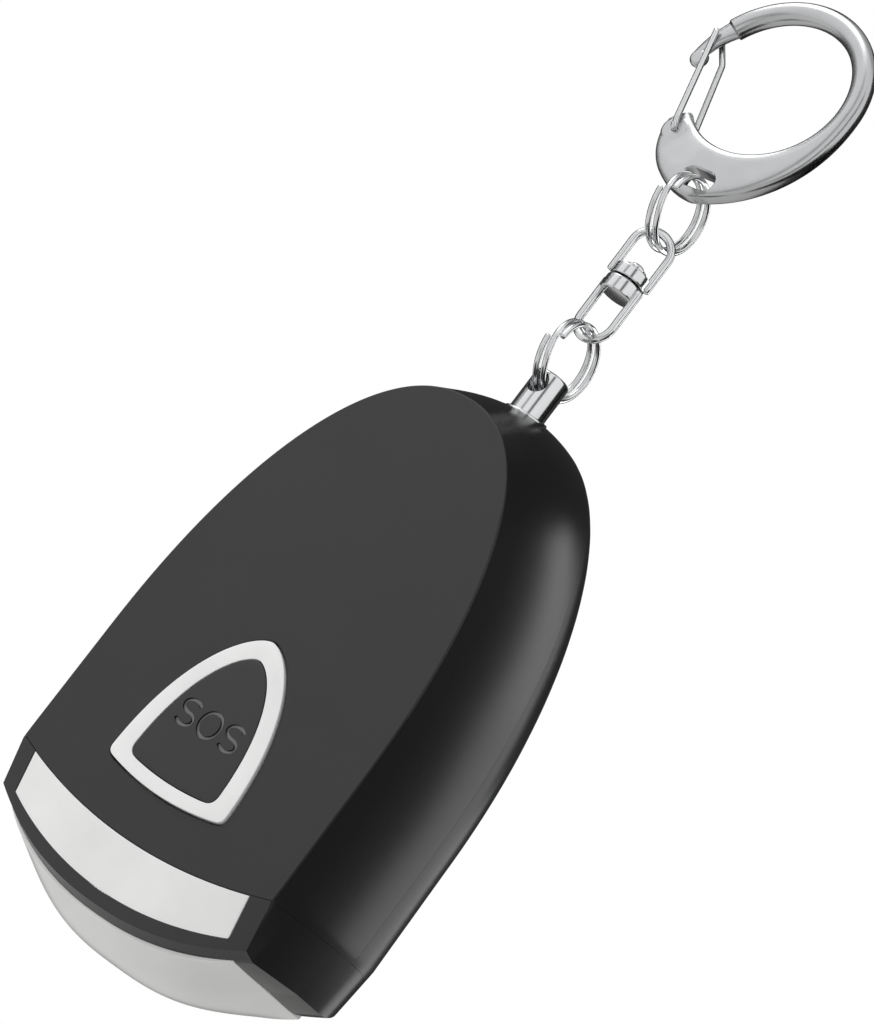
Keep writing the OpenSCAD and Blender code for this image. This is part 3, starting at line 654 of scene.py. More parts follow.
# Call button: the black rounded triangle that is pressed for help.
# Moulded in black ABS, with the plain distress letters cut into it and filled with grey paint.
# It stands in the light ring and presses the switch through its plunger.
letter_z = 12.47
letter_half_w = 1.49
letter_half_h = 1.58
letter_step = 3.53
letter_s_half = 1.2
word_half = 5.4
stroke_half = 0.2
letter_depth = 0.3
groove_floor = key_face + letter_depth
core_low = 9.28
core_high = 17.28
core_z = np.clip(button_edge[:, 1], core_low, core_high)
button_core = np.stack([0 * core_z, core_z], 1)
back_flange = grown_loop(button_edge, flange_out)
flange_front = key_back + flange_thick
button_rows = [standing(back_flange, flange_front + flange_thick), standing(back_flange, flange_front),
               standing(button_edge, flange_front)]
button_rows += rounded_rim(button_edge, key_face, -1)
rim_loop = button_rows[-1][:, [0, 2]]
button_rows += [standing(rim_loop + share * (button_core - rim_loop), key_face)
                for share in np.linspace(0, 1, 6)[1:]]
call_button = lofted("call_button", button_rows)


def groove(name, across, up, closed):
    """Square groove cutter carried along a stroke on the button's face, half a stroke to each side."""
    path = np.stack([across, up + letter_z], 1)
    along = np.roll(path, -1, 0) - np.roll(path, 1, 0) if closed else np.gradient(path, axis=0)
    out = np.stack([along[:, 1], -along[:, 0]], 1)
    side = stroke_half * out / np.linalg.norm(along, axis=1, keepdims=True)
    over = key_face - 0.2
    rows = [standing(path + side, over), standing(path - side, over),
            standing(path - side, groove_floor), standing(path + side, groove_floor)]
    return lofted(name, np.stack(rows, 1), joined=closed)


round_o = np.radians(np.linspace(0, 360, 72, endpoint=False))
strokes = [groove("stroke", letter_half_w * np.cos(round_o), letter_half_h * np.sin(round_o), True)]
upper = np.radians(np.linspace(25, 270, 40))
lower = np.radians(np.linspace(90, -155, 40))[1:]
bow_h = letter_half_h / 2
s_x = letter_s_half * np.cos(np.concatenate([upper, lower]))
s_z = np.concatenate([bow_h + bow_h * np.sin(upper), -bow_h + bow_h * np.sin(lower)])
for side in (-1, 1):
    strokes.append(groove("stroke", s_x + side * letter_step, s_z, False))
carved(call_button, strokes)
button_finish = plastic("button_black_plastic", "313132", 0.5, 0.22, 0.01, Specular_IOR_Level=0.3)
nodes, link = button_finish.node_tree.nodes, button_finish.node_tree.links.new
place = split_place(nodes, link)


def product(first, second):
    """Product of two masks."""
    both = math_node(nodes, "MULTIPLY")
    link(first, both.inputs[0])
    link(second, both.inputs[1])
    return both.outputs[0]


def within(axis, low, high):
    """Mask that is 1 where an Object coordinate lies between two values in millimetres."""
    above = math_node(nodes, "GREATER_THAN", low * mm)
    below = math_node(nodes, "LESS_THAN", high * mm)
    link(place[axis], above.inputs[0])
    link(place[axis], below.inputs[0])
    return product(above.outputs[0], below.outputs[0])


def tinted(under, low, high, tone):
    """Colour laid over another where the depth lies between two values and x lies within the word."""
    mask = product(within("Y", low, high), within("X", -word_half, word_half))
    return mixed(nodes, link, "RGBA", mask, under, colour(tone))


floor_skin = 0.02
moulded = nodes["effect"].outputs["Colour"]
# The groove walls are painted near black as shade in the recess; the grey paint lies on the groove floor.
shaded = tinted(moulded, key_face + floor_skin, groove_floor - floor_skin, "101010")
painted = tinted(shaded, groove_floor - floor_skin, groove_floor + floor_skin, "888888")
link(painted, nodes["Principled BSDF"].inputs["Base Color"])
dress(call_button, button_finish, "button", "button_black", "sos_button")

# Inner pieces: plunger, switches, board, lamps, siren with its gasket, cells, contact and pin seat.
# Each keeps its CAD solid and gets its own plastic, laminate, rubber or metal finish.
# They sit between the two covers and show only where the pin comes out.
inner_finishes = {
    "switch_plunger": plastic("plunger_plastic", "1a1a1a", 0.4, 0.3, 0.004),
    "button_switch": plastic("switch_plastic", "777777", 0.4, 0.3, 0.004),
    "circuit_board": plastic("board_laminate", "1f5a3a", 0.35, 0.2, 0.004, 0.2, Coat_Weight=0.4),
    "leds": plastic("lamp_resin", "f2e9b0", 0.2, 0.6, 0.002),
    "siren": plastic("siren_plastic", "161616", 0.45, 0.3, 0.006),
    "siren_gasket": plastic("gasket_foam", "303030", 0.9, 0.5, 0.05),
    "coin_cells": plastic("cell_steel", "c4c6c8", 0.28, 0.4, 0.002, 0.2, Metallic=1.0),
    "battery_contact": plastic("contact_brass", "c9a75a", 0.3, 0.4, 0.002, 0.2, Metallic=1.0),
    "pin_socket": plastic("socket_plastic", "d8d8d4", 0.4, 0.4, 0.004),
    "pin_seal": plastic("seal_rubber", "222222", 0.7, 0.3, 0.01),
    "pull_switch": plastic("pull_switch_plastic", "2a2a2a", 0.4, 0.3, 0.004),
}


def finish_solid(node, finish):
    """Puts a material on a CAD solid that is shown as it is."""
    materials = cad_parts[node].data.materials
    materials.clear()
    materials.append(finish)


for node, finish in inner_finishes.items():
    finish_solid(node, finish)

# Rear cover: the dark shell behind the parting line, with the sound holes and the battery pocket.
# Moulded in the same nylon as the front, finely grained all over.
# Four sunk screws hold it to the front cover.
sound_z = 34.0
sound_pitch = 3.2
sound_r = 0.8
sound_floor = 11.0
door_z = 9.0
pocket_r = 9.3
pocket_floor = 10.5
sink_r = 2.1
sink_floor = 10.9
screw_places = [[-13, 4], [13, 4], [-6.5, 50.5], [6.5, 50.5]]


def hole_along_y(name, x, z, radius, y0, rim=0.15):
    """Hole cutter along Y from a depth out through the back, with a chamfered mouth."""
    past = 0.5
    mouth = radius + rim + past
    profile = [[0, y0], [radius, y0], [radius, back_y - rim], [mouth, back_y + past], [0, back_y + past]]
    return turned(name, profile, (x, 0, z), "Y", 48)


rear_cover = carved(
    lofted("rear_shell", body_rows(0, 0.001)),
    [crease_solid("crease", parting_y + seam, back_y + 1, seam)], "INTERSECT")
rear_tools = [lofted("cavity", body_rows(wall)), hole_along_y("pocket", 0, door_z, pocket_r, pocket_floor)]
rear_tools += [hole_along_y("screw_sink", x, z, sink_r, sink_floor) for x, z in screw_places]
for ring_number in range(3):
    holes = max(1, 6 * ring_number)
    for turn in np.arange(holes) * 2 * np.pi / holes:
        rear_tools.append(hole_along_y(
            "sound_hole", sound_pitch * ring_number * np.cos(turn),
            sound_z + sound_pitch * ring_number * np.sin(turn), sound_r, sound_floor))
carved(rear_cover, rear_tools)
rear_cover.name = "rear_cover_shell"
rear_finish = plastic("rear_grey_plastic", "1d1d1e", 0.26, 0.25, 0.004, Specular_IOR_Level=0.3)
dress(rear_cover, rear_finish, "alarm", "cover_grey", "rear_cover")

# Battery door: the round lid over the two coin cells, with a slot for a coin.
# Moulded in the rear cover's nylon and turned into place.
# Its slot is cut with sloping ends.
door_r = 9.2
door_edge = 0.2
door_floor = 12.05
slot_half = 4.5
slot_half_w = 0.8
slot_depth = 1.0
slot_floor_share = 0.9
door_rows = [[0, door_floor], [door_r, door_floor], [door_r, back_y - door_edge],
             [door_r - door_edge, back_y], [0, back_y]]
battery_door = turned("battery_lid", door_rows, (0, 0, door_z), "Y", 160)
slot_mouth = np.array([[-slot_half, -slot_half_w], [slot_half, -slot_half_w],
                       [slot_half, slot_half_w], [-slot_half, slot_half_w]])
slot_floor = slot_mouth * [slot_floor_share, 1]
coin_slot = lofted("coin_slot", [
    standing(slot_floor + [0, door_z], back_y - slot_depth),
    standing(slot_mouth + [0, door_z], back_y + 0.5)])
carved(battery_door, [coin_slot])
dress(battery_door, rear_finish, "alarm", "cover_grey", "battery_door")

# Housing screws: four pan-head screws sunk into the rear cover.
# Zinc-plated steel with a cross recess; they keep their CAD solids.
# Their shanks run through the bosses into the front cover.


def polished_metal():
    """Shared effect of plated metal: faint drift of tone, fine wiping marks and a soft waviness."""
    group, start, end = effect_group("polished_metal", {
        "Colour": (0.6, 0.6, 0.6, 1), "Roughness": 0.15, "Wear": 0.1})
    nodes, link = group.nodes, group.links.new
    wave = noise_node(nodes, link, 500, 5)
    drifting_tone(group, start, end, wave, 0.94, 1.04)
    worn = math_node(nodes, "MULTIPLY_ADD")
    link(wave.outputs["Fac"], worn.inputs[0])
    link(start.outputs["Wear"], worn.inputs[1])
    link(start.outputs["Roughness"], worn.inputs[2])
    link(worn.outputs[0], end.inputs["Roughness"])
    link(wave.outputs["Fac"], end.inputs["Height"])
    return group


metal_group = polished_metal()


def metal(name, tone, rough, wear, depth=0.002):
    """Plated metal of a tone, a roughness and a wear, with a faint bump."""
    values = {"Colour": colour(tone), "Roughness": rough, "Wear": wear}
    return finished(name, metal_group, values, 0.15, depth, Metallic=1.0)


finish_solid("housing_screws", metal("screw_steel", "8d8f92", 0.3, 0.1))

# Pin collar: the thin bright ring that trims the hole in the top.
# Stamped and nickel-plated brass.
# It is pressed into its seat round the pin.
collar_in = 2.36
collar_out = 2.8
collar_over = 0.26
collar_side = 0.1
collar_under = 1.0
chain_finish = metal("chain_nickel", "dedfe0", 0.14, 0.06)


def top_z(x, y):
    """Height of the body's top, on the arch |x / w|^p + |(z - side_top) / (top - side_top)|^p = 1."""
    grown = swell(y)
    half = face_half + side_swell * grown
    top = body_top - top_swell * (1 - grown)
    power = arch_power - arch_ease * grown
    return side_top + (top - side_top) * (1 - np.abs(x / half) ** power) ** (1 / power)


collar_turn = np.radians(np.linspace(0, 180, 14))
collar_mid = (collar_in + collar_out) / 2
collar_bow = (collar_out - collar_in) / 2
collar_profile = np.concatenate([
    [[collar_out, -collar_under]],
    np.stack([collar_mid + collar_bow * np.cos(collar_turn),
              collar_side + (collar_over - collar_side) * np.sin(collar_turn)], 1),
    [[collar_in, -collar_under]]])
collar_angle = np.linspace(0, 2 * np.pi, 128, endpoint=False)
collar_x = collar_profile[:, :1] * np.cos(collar_angle)
collar_y = collar_profile[:, :1] * np.sin(collar_angle)
collar_grid = np.stack([collar_x, collar_y, top_z(collar_x, collar_y) + collar_profile[:, 1:]], -1)
pin_collar = lofted("pin_trim_collar", collar_grid, joined=True)
dress(pin_collar, chain_finish, "alarm", "chain_nickel", "pin_collar")

# Pull pin: the bright pin that sets off the siren when it is drawn out.
# Turned from steel and nickel-plated, with a groove that the seal grips.
# The lower split ring goes through its cross hole.
pin_r = 2.3
pin_in = 14.0
pin_top = 70.9
pin_hole_z = 69.0
pin_hole_r = 1.3
hole_lip = 0.1
hole_mouth = 1.5
pin_edge = 0.45
pin_groove = 0.35
pin_groove_z = body_top - 3.0
pin_turn = np.radians(np.linspace(0, 90, 9))
pin_low = body_top - pin_in
pin_flat = pin_r - pin_edge
pin_profile = np.concatenate([
    [[0, pin_low]],
    np.stack([pin_flat + pin_edge * np.sin(pin_turn), pin_low + pin_edge * (1 - np.cos(pin_turn))], 1),
    [[pin_r, pin_groove_z - pin_groove], [pin_r - pin_groove, pin_groove_z],
     [pin_r, pin_groove_z + pin_groove]],
    np.stack([pin_flat + pin_edge * np.cos(pin_turn), pin_top - pin_edge * (1 - np.sin(pin_turn))], 1),
    [[0, pin_top]]])
pull_pin = turned("pull_pin_body", pin_profile, around=160)
hole_far = np.array([[pin_hole_r, 1.95], [pin_hole_r + hole_lip, 2.15], [pin_hole_r + hole_mouth, 4], [0, 4]])
hole_profile = np.concatenate([hole_far[::-1] * [1, -1], hole_far])
carved(pull_pin, [turned("cross_hole", hole_profile, (0, 0, pin_hole_z), "Y", 96)])
dress(pull_pin, chain_finish, "pin", "chain_nickel", "pull_pin")

# Split rings: two double-turn rings, one through the pin and one through the hook's eye.
# Wound from nickel-plated spring wire, with one crossing between the turns.
# Their free ends lie beside the crossing and stand out a little.
ring_wire = 0.75
ring_outside = 10.4
ring_r = (ring_outside - ring_wire) / 2
strand_x = 0.59
ring_cross = 110.0
ring_flare = 0.3
flare_reach = 55.0
ring_turn = 712.0
ring_end = 178.0
ring_angle = np.linspace(0, ring_turn, 360)
ring_share = np.clip((ring_angle - ring_turn / 2) / ring_cross + 0.5, 0, 1)
ring_x = strand_x * (2 * ring_share ** 2 * (3 - 2 * ring_share) - 1)
ring_x -= ring_flare * np.clip(1 - ring_angle / flare_reach, 0, 1) ** 2
ring_x += ring_flare * np.clip(1 - (ring_turn - ring_angle) / flare_reach, 0, 1) ** 2
ring_phase = np.radians(ring_angle + ring_end)
ring_path = np.stack([ring_x, ring_r * np.cos(ring_phase), ring_r * np.sin(ring_phase)], 1)
lower_ring_z = 73.555
upper_ring_z = 96.555


def tube(name, path, radius, flat_to, sides=20, closed=False):
    """Round section carried along a path; flat_to is a direction that the path never runs along.

    Open ends are domed: the radius falls as cos and the end moves out as sin.
    """
    path = np.asarray(path, float)
    size = np.full(len(path), float(radius))
    if closed:
        along = np.roll(path, -1, 0) - np.roll(path, 1, 0)
    else:
        along = np.gradient(path, axis=0)
    along /= np.linalg.norm(along, axis=1, keepdims=True)
    if not closed:
        turn = np.radians([90, 75, 55, 30])
        dome = radius * 0.5
        head = path[0] - along[0] * (dome * np.sin(turn))[:, None]
        tail = path[-1] + along[-1] * (dome * np.sin(turn[::-1]))[:, None]
        path = np.concatenate([head, path, tail])
        size = np.concatenate([radius * np.cos(turn), size, radius * np.cos(turn[::-1])])
        along = np.concatenate([along[:1].repeat(4, 0), along, along[-1:].repeat(4, 0)])
    side = np.cross(along, np.asarray(flat_to, float))
    side /= np.linalg.norm(side, axis=1, keepdims=True)
    up = np.cross(side, along)
    angle = np.linspace(0, 2 * np.pi, sides, endpoint=False)[:, None]
    ring = np.cos(angle) * side[:, None] + np.sin(angle) * up[:, None]
    return lofted(name, path[:, None] + size[:, None, None] * ring, joined=closed, sharp=50)


split_rings = []
for name, height, body in [("lower_split_ring", lower_ring_z, "lower_ring"),
                           ("upper_split_ring", upper_ring_z, "upper_ring")]:
    split_ring = tube(name + "_wire", ring_path + [0, 0, height], ring_wire / 2, (1, 0, 0), 18)
    dress(split_ring, chain_finish, body, "chain_nickel", name)
    split_rings.append(split_ring)

# Swivel: two wire loops whose drums turn on a shared rivet.
# Bent wire soldered into turned drums, all nickel-plated.
# The rivet is headed over the upper drum, so the two halves turn freely.
loop_wire = 1.05
loop_bend = 2.5
lower_loop_z = 77.18
lower_drum_z = 83.6
lower_drum_h = 1.9
upper_drum_z = 85.755
upper_drum_h = 1.55
upper_loop_z = 93.28
upper_turn = np.radians(28.0)
drum_r = 2.425
drum_edge = 0.22
leg_sunk = 0.4
rivet_r = 0.79
rivet_gap = 0.1
rivet_head_r = 1.4
rivet_head_h = 0.45
rivet_dome_r = 0.98
rivet_dome_h = 0.5


def bent_loop(bend_z, leg_z, turn):
    """Path of a wire loop: a half circle at its bend and two straight legs, turned about the chain."""
    way = 1.0 if leg_z > bend_z else -1.0
    arc = np.radians(np.linspace(180, 360, 48))
    leg = np.linspace(0, 1, 8)[1:, None]
    centre = bend_z + way * loop_bend
    bow = np.stack([loop_bend * np.cos(arc), centre + way * loop_bend * np.sin(arc)], 1)
    first = bow[0] + leg[::-1] * ([-loop_bend, leg_z] - bow[0])
    last = bow[-1] + leg * ([loop_bend, leg_z] - bow[-1])
    flat = np.concatenate([first, bow, last])
    return np.stack([flat[:, 0] * np.cos(turn), flat[:, 0] * np.sin(turn), flat[:, 1]], 1)


def drum_profile(z, h):
    """Drum with rounded edges as (radius, height) points."""
    turn = np.radians(np.linspace(0, 90, 6))
    low = np.stack([drum_r - drum_edge * (1 - np.sin(turn)), z + drum_edge * (1 - np.cos(turn))], 1)
    high = np.stack([drum_r - drum_edge * (1 - np.cos(turn)), z + h - drum_edge * (1 - np.sin(turn))], 1)
    return np.concatenate([[[0, z]], low, high, [[0, z + h]]])


lower_loop = tube("swivel_lower_wire", bent_loop(lower_loop_z, lower_drum_z + lower_drum_h - leg_sunk, 0.0),
                  loop_wire / 2, (0, 1, 0))
dress(lower_loop, chain_finish, "swivel_bottom", "chain_nickel", "swivel_lower_loop")
lower_drum = turned("swivel_lower_barrel", drum_profile(lower_drum_z, lower_drum_h))
dress(lower_drum, chain_finish, "swivel_bottom", "chain_nickel", "swivel_lower_drum")
upper_flat = (-np.sin(upper_turn), np.cos(upper_turn), 0)
upper_loop = tube("swivel_upper_wire", bent_loop(upper_loop_z, upper_drum_z + leg_sunk, upper_turn),
                  loop_wire / 2, upper_flat)
dress(upper_loop, chain_finish, "swivel_top", "chain_nickel", "swivel_upper_loop")
upper_drum = turned("swivel_upper_barrel", drum_profile(upper_drum_z, upper_drum_h))
dress(upper_drum, chain_finish, "swivel_top", "chain_nickel", "swivel_upper_drum")
head_z = upper_drum_z + upper_drum_h + rivet_gap
foot_z = lower_drum_z + rivet_gap
dome_z = head_z + rivet_head_h + rivet_gap
dome = np.radians(np.linspace(0, 90, 10))
rivet_profile = np.concatenate([
    [[0, foot_z], [rivet_r, foot_z], [rivet_r, head_z - 0.01], [rivet_head_r, head_z],
     [rivet_head_r, head_z + rivet_head_h]],
    np.stack([rivet_dome_r * np.cos(dome), dome_z + rivet_dome_h * np.sin(dome)], 1)])
rivet_profile[-1, 0] = 0
rivet = turned("swivel_rivet_pin", rivet_profile, around=96)
dress(rivet, chain_finish, "swivel_bottom", "chain_nickel", "swivel_rivet")

# Hook: the snap hook with its round loop, flared foot and eye.
# Cast in zinc alloy and nickel-plated to a satin, with rounded edges all along the bar.
# The upper split ring goes through the eye, and the gate turns in the ear.
hook_z = 116.4
hook_r = 10.1
hook_bar = 2.9
hook_t = 2.5
eye_drop = 15.1
eye_h = 2.6
eye_w = 4.6
boss_reach = 7.55
eye_angle = -90.0
eye_sweep = 1.7
ear_sweep = 2.2
nose_end = 178.0
nose_thinned = 1.4
neck_start = 150.0
neck_t = 1.1
ear_start = -100.0
ear_full = -120.0
ear_end = -136.0
ear_reach = 3.2
ear_t = 1.9
ear_r = 1.95
ear_x = -7.55
ear_dz = -10.05
pivot = np.array([ear_x, 0, hook_z + ear_dz])
pivot_hole_r = 0.45


def hook_rows():
    """Rounded sections along the bar by angle: outer edge drawn out to the eye and in to the ear.

    Each section is a superellipse |u|^p + |v|^p = 1 between the inner and outer edge.
    """
    a = np.concatenate([np.linspace(ear_end, 0, 90), np.linspace(2, neck_start - 0.6, 100),
                        np.linspace(neck_start + 0.6, nose_end, 24)])
    to_eye = hook_bar + (boss_reach - hook_bar) * np.clip(a / eye_angle, 0, 1) ** eye_sweep
    share = np.clip((eye_angle - a) / (eye_angle - ear_end), 0, 1)
    past_eye = boss_reach - (boss_reach - ear_reach) * share ** ear_sweep
    outer = hook_r + np.where(a >= 0, hook_bar, np.where(a >= eye_angle, to_eye, past_eye))
    neck = np.clip((a - neck_start) / (nose_end - neck_start), 0, 1)
    inner = hook_r + nose_thinned * neck
    thick = hook_t - (hook_t - ear_t) * np.clip((ear_start - a) / (ear_start - ear_full), 0, 1)
    thick = np.where(a > neck_start, neck_t, thick)
    turn = np.linspace(0, 2 * np.pi, 48, endpoint=False)
    width = (outer - inner)[:, None]
    power_u = np.clip(2.7 / width, 0.25, 0.95)
    power_v = np.clip(2.3 / width, 0.4, 0.8)
    u = np.sign(np.cos(turn)) * np.abs(np.cos(turn)) ** power_u
    v = np.sign(np.sin(turn)) * np.abs(np.sin(turn)) ** power_v
    radius = (inner + outer)[:, None] / 2 + width / 2 * u
    angle = np.radians(a)[:, None]
    return np.stack([radius * np.cos(angle), thick[:, None] / 2 * v, radius * np.sin(angle) + hook_z], -1)


def rounded_disc(name, radius, thick, centre):
    """Disc along Y with rounded edges."""
    turn = np.radians(np.linspace(0, 90, 8))
    r = min(0.45, thick * 0.4)
    near = np.stack([radius - r * (1 - np.sin(turn)), -thick / 2 + r * (1 - np.cos(turn))], 1)
    far = np.stack([radius - r * (1 - np.cos(turn)), thick / 2 - r * (1 - np.sin(turn))], 1)
    return turned(name, np.concatenate([[[0, -thick / 2]], near, far, [[0, thick / 2]]]), centre, "Y", 72)


hook = lofted("snap_hook", hook_rows(), sharp=40)
nose_r = hook_bar * 0.42
nose_angle = np.radians(nose_end)
nose_at = (hook_r + hook_bar - nose_r) * np.array([np.cos(nose_angle), 0, np.sin(nose_angle)])
carved(hook, [
    rounded_disc("ear", ear_r, ear_t, pivot),
    rounded_disc("nose", nose_r, neck_t, nose_at + [0, 0, hook_z])], "UNION", 40)
eye_turn = np.radians(np.linspace(0, 360, 96, endpoint=False))
eye_loop = np.stack([
    eye_h / 2 * np.cos(eye_turn) + (eye_w - eye_h) / 2 * np.sign(np.cos(eye_turn)),
    eye_h / 2 * np.sin(eye_turn) + hook_z - eye_drop], 1)
eye_flare = eye_loop + 0.5 * np.stack([np.cos(eye_turn), np.sin(eye_turn)], 1)
eye_cut = lofted("eye_cut", [
    standing(eye_flare, -hook_t / 2 - 0.3), standing(eye_loop, -hook_t / 2 + 0.2),
    standing(eye_loop, hook_t / 2 - 0.2), standing(eye_flare, hook_t / 2 + 0.3)])
pivot_profile = [[0, -3], [pivot_hole_r, -3], [pivot_hole_r, 3], [0, 3]]
pivot_hole = turned("pivot_hole", pivot_profile, pivot, "Y", 48)
carved(hook, [eye_cut, pivot_hole], sharp=40)
hook_finish = metal("hook_satin_nickel", "bcbdbe", 0.2, 0.08)
dress(hook, hook_finish, "hook", "chain_nickel", "hook")

# Hook gate: the sprung wire that closes the hook.
# One length of spring wire, bent round the ear's hole and nickel-plated.
# Its two legs pinch towards each other where they straddle the neck.
gate_wire = 0.8
gate_len = 15.0
gate_lean = np.radians(15.3)
gate_side = 1.5
gate_tip_side = 1.05
leg_off = 1.5
foot_share = 0.12
tip_share = 0.22
lean = np.array([-np.sin(gate_lean), 0, np.cos(gate_lean)])
leg_share = np.linspace(0, 1, 40)
leg_side = gate_side + (gate_tip_side - gate_side) * leg_share
leg_points = pivot + leg_share[:, None] * gate_len * lean
foot = np.radians(np.linspace(0, 90, 10))[:-1]
bend = 0.5
cross = np.linspace(-1, 1, 12)[:, None] * (gate_side - bend)
far_off = leg_off * np.clip(leg_share / foot_share, 0, 1) * np.clip((1 - leg_share) / tip_share, 0, 1)
near_leg = leg_points + leg_side[:, None] * [0, -1, 0]
far_leg = leg_points + leg_side[:, None] * [0, 1, 0] + far_off[:, None] * [1, 0, 0]
near_foot = pivot + lean * (bend * (1 - np.sin(foot[::-1]))[:, None])
near_foot = near_foot - np.array([0, 1, 0]) * (gate_side - bend * (1 - np.cos(foot[::-1])))[:, None]
far_foot = (near_foot * [1, -1, 1])[::-1]
gate_path = np.concatenate([near_leg[:2:-1], near_foot, pivot + cross * [0, 1, 0], far_foot, far_leg[3:]])
hook_gate = tube("hook_gate_wire", gate_path, gate_wire / 2, (np.cos(gate_lean), 0, np.sin(gate_lean)), 18)
dress(hook_gate, chain_finish, "gate", "chain_nickel", "hook_gate")

# Studio: a pale floor far below the hanging part, a white surround and soft boxes.
# The surround shows white to the camera and in polished metal, and lights the part only gently.
# Dim and glowing cards outside the view show only as reflections in the metal and the sides.
floor_z = -0.4
floor_half = 2.0
floor_corners = [(x * floor_half, y * floor_half, floor_z) for x, y in [(-1, -1), (1, -1), (1, 1), (-1, 1)]]
floor_mesh = bpy.data.meshes.new("studio_floor")
floor_mesh.from_pydata(floor_corners, [], [(0, 1, 2, 3)])
floor = bpy.data.objects.new("studio_floor", floor_mesh)
bpy.context.scene.collection.objects.link(floor)
floor_finish, _, _, floor_shader = fresh_material("studio_floor_paint")
floor_shader.inputs["Base Color"].default_value = colour("f0f0ee")
floor_shader.inputs["Roughness"].default_value = 0.8
floor_mesh.materials.append(floor_finish)

world = bpy.data.worlds.new("studio")
bpy.context.scene.world = world
world.use_nodes = True
nodes, link = world.node_tree.nodes, world.node_tree.links.new
surround = nodes["Background"]
surround.inputs["Color"].default_value = (1, 1, 1, 1)
path = nodes.new("ShaderNodeLightPath")
seen = math_node(nodes, "MAXIMUM")
seen_all = math_node(nodes, "MAXIMUM")
strength = range_node(nodes, 0.0, 1.0, 0.65, 1.0)
link(path.outputs["Is Camera Ray"], seen.inputs[0])
link(path.outputs["Is Glossy Ray"], seen.inputs[1])
link(seen.outputs[0], seen_all.inputs[0])
link(path.outputs["Is Transmission Ray"], seen_all.inputs[1])
link(seen_all.outputs[0], strength.inputs["Value"])
link(strength.outputs["Result"], surround.inputs["Strength"])


def aimed(spot, target):
    """Matrix that stands a lamp, card or camera at a spot with its -Z towards a target."""
    back = np.asarray(spot, float) - np.asarray(target, float)
    back /= np.linalg.norm(back)
    across = np.cross([0, 0, 1], back)
    across /= np.linalg.norm(across)
    up = np.cross(back, across)
    turn = np.eye(4)
    turn[:3, 0], turn[:3, 1], turn[:3, 2], turn[:3, 3] = across, up, back, spot
    return Matrix(turn.tolist())


def soft_box(name, spot, target, width, height, power):
    """Rectangular soft light."""
    lamp = bpy.data.lights.new(name, "AREA")
    lamp.shape = "RECTANGLE"
    lamp.size = width
    lamp.size_y = height
    lamp.energy = power
    holder = bpy.data.objects.new(name, lamp)
    holder.matrix_world = aimed(spot, target)
    bpy.context.scene.collection.objects.link(holder)
    return holder


def glossy_card(name, radius, turn_from, turn_to, low, high, glow, lean=0, top_radius=None):
    """Card that shows only in reflections, bent on a circle about the part between two bearings.

    Its head may lean round the circle by some degrees, or draw in to another radius.
    """
    turn = np.radians(np.linspace(turn_from, turn_to, 33))
    foot = np.stack([radius * np.cos(turn), radius * np.sin(turn), 0 * turn + low], 1)
    turn = turn + np.radians(lean)
    radius = radius if top_radius is None else top_radius
    head = np.stack([radius * np.cos(turn), radius * np.sin(turn), 0 * turn + high], 1)
    points = np.concatenate([foot, head])
    step = np.arange(32)
    mesh = bpy.data.meshes.new(name)
    mesh.from_pydata(points.tolist(), [], np.stack([step, step + 1, step + 34, step + 33], 1).tolist())
    card = bpy.data.objects.new(name, mesh)
    bpy.context.scene.collection.objects.link(card)
    paint, _, _, shader = fresh_material(name + "_paint")
    shader.inputs["Base Color"].default_value = (0, 0, 0, 1)
    shader.inputs["Specular IOR Level"].default_value = 0
    shader.inputs["Emission Color"].default_value = (1, 1, 1, 1)
    shader.inputs["Emission Strength"].default_value = glow
    mesh.materials.append(paint)
    card.visible_camera = False
    card.visible_shadow = False
    card.visible_diffuse = False
    card.visible_transmission = False
    return card


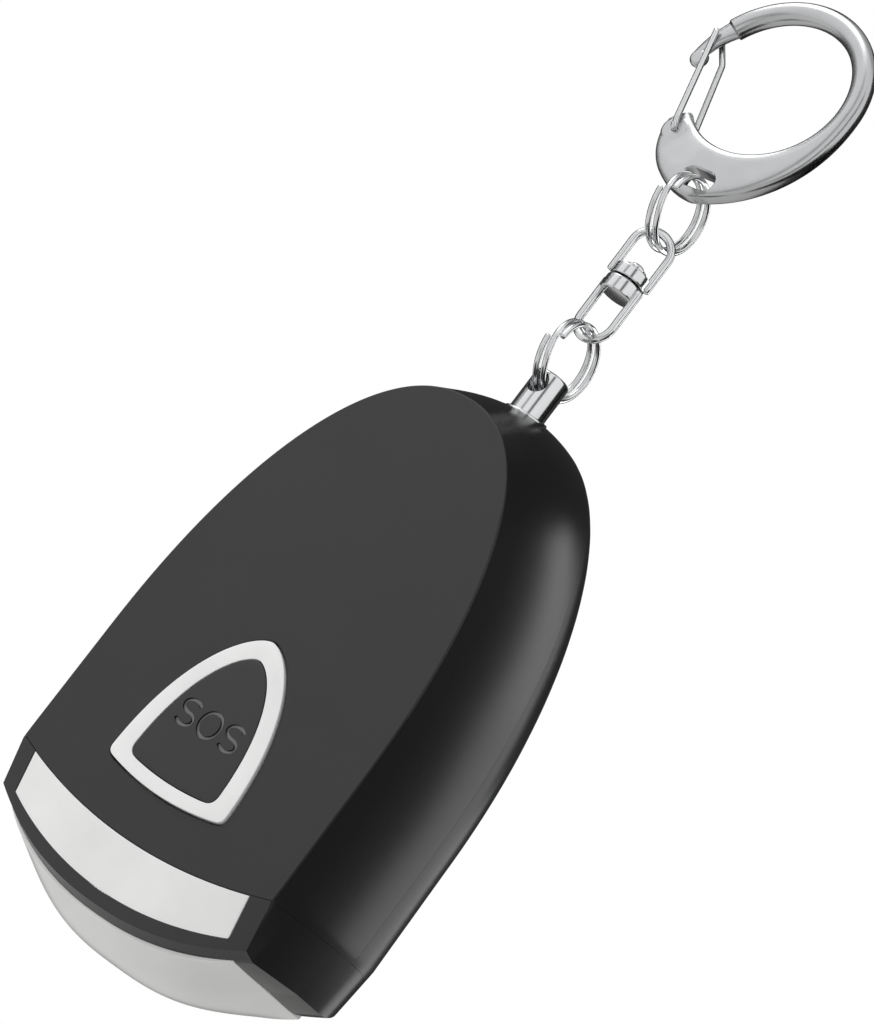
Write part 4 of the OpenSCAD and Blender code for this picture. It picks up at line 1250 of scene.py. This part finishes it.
card_r = 0.7
close_card_r = 0.25
wide_card_r = 0.8
strip_r = 0.5
middle = np.array([0.0, 0.0, -0.075])
soft_box("key_light", (-0.55, -0.4, 0.5), middle, 0.7, 0.7, 3.4)
fill_light = soft_box("fill_light", (-0.15, -0.18, -0.17), (0, 0, -0.13), 0.12, 0.12, 0.11)
fill_light.visible_glossy = False
glossy_card("front_card", card_r, 213, 253, -0.3, 0.5, 0.95)
glossy_card("left_card", card_r, 195, 213, -0.3, 0.5, 0.35)
glossy_card("near_card", card_r, 253, 266, -0.3, 0.5, 0.4)
glossy_card("lens_card", card_r, 301, 315, -0.4, 0.6, 0.15)
glossy_card("side_card", close_card_r, -10, 20, -0.4, -0.008, 0.015)
glossy_card("corner_card", close_card_r, 20, 44, -0.4, 0.06, 0.015)
glossy_card("over_card", wide_card_r, 20, 44, 0.12, 2.0, 0.03)
glossy_card("back_card", wide_card_r, 44, 194, -0.6, 2.0, 0.05)
glossy_card("ceiling_card", wide_card_r, 0, 360, 2.0, 2.0, 0.5, top_radius=0.01)
strip_lit = bpy.data.collections.new("strip_lit_pieces")
swivel_pieces = [lower_loop, upper_loop, lower_drum, upper_drum]
for piece in [front_cover, end_cap, rear_cover] + split_rings + swivel_pieces:
    strip_lit.objects.link(piece)
strips = [
    glossy_card("strip_low", strip_r, 44, 60, -0.13, -0.08, 2.2),
    glossy_card("strip_high", strip_r, 44, 62, -0.08, 0.08, 2.2, 2),
    glossy_card("strip_top", strip_r, 48, 62, 0.08, 0.38, 2.9, 14),
    glossy_card("strip_back", strip_r, 60, 80, -0.3, 0.0, 1.9)]
for strip in strips:
    strip.light_linking.receiver_collection = strip_lit

# Camera: at the photograph's place and angle, a little below the part and to its right.
# A long lens, so the part shows little perspective.
# It is rolled, so that the upright part leans across the picture as in the photograph.
lens = bpy.data.cameras.new("camera")
lens.lens = 105.49
lens.sensor_width = 36.0
camera = bpy.data.objects.new("camera", lens)
bpy.context.scene.collection.objects.link(camera)
camera_right = [0.715, 0.3754, 0.5898]
camera_up = [-0.3841, -0.494, 0.78]
camera_back = [0.5841, -0.7843, -0.2091]
camera_spot = [0.20363, -0.27593, (corner_height - 23.84) * mm]
view_axes = np.eye(4)
view_axes[:3] = np.stack([camera_right, camera_up, camera_back, camera_spot], 1)
camera.matrix_world = Matrix(view_axes.tolist())
lens.clip_start = 0.01
lens.clip_end = 50
bpy.context.scene.camera = camera
bpy.context.scene.view_settings.view_transform = "Standard"
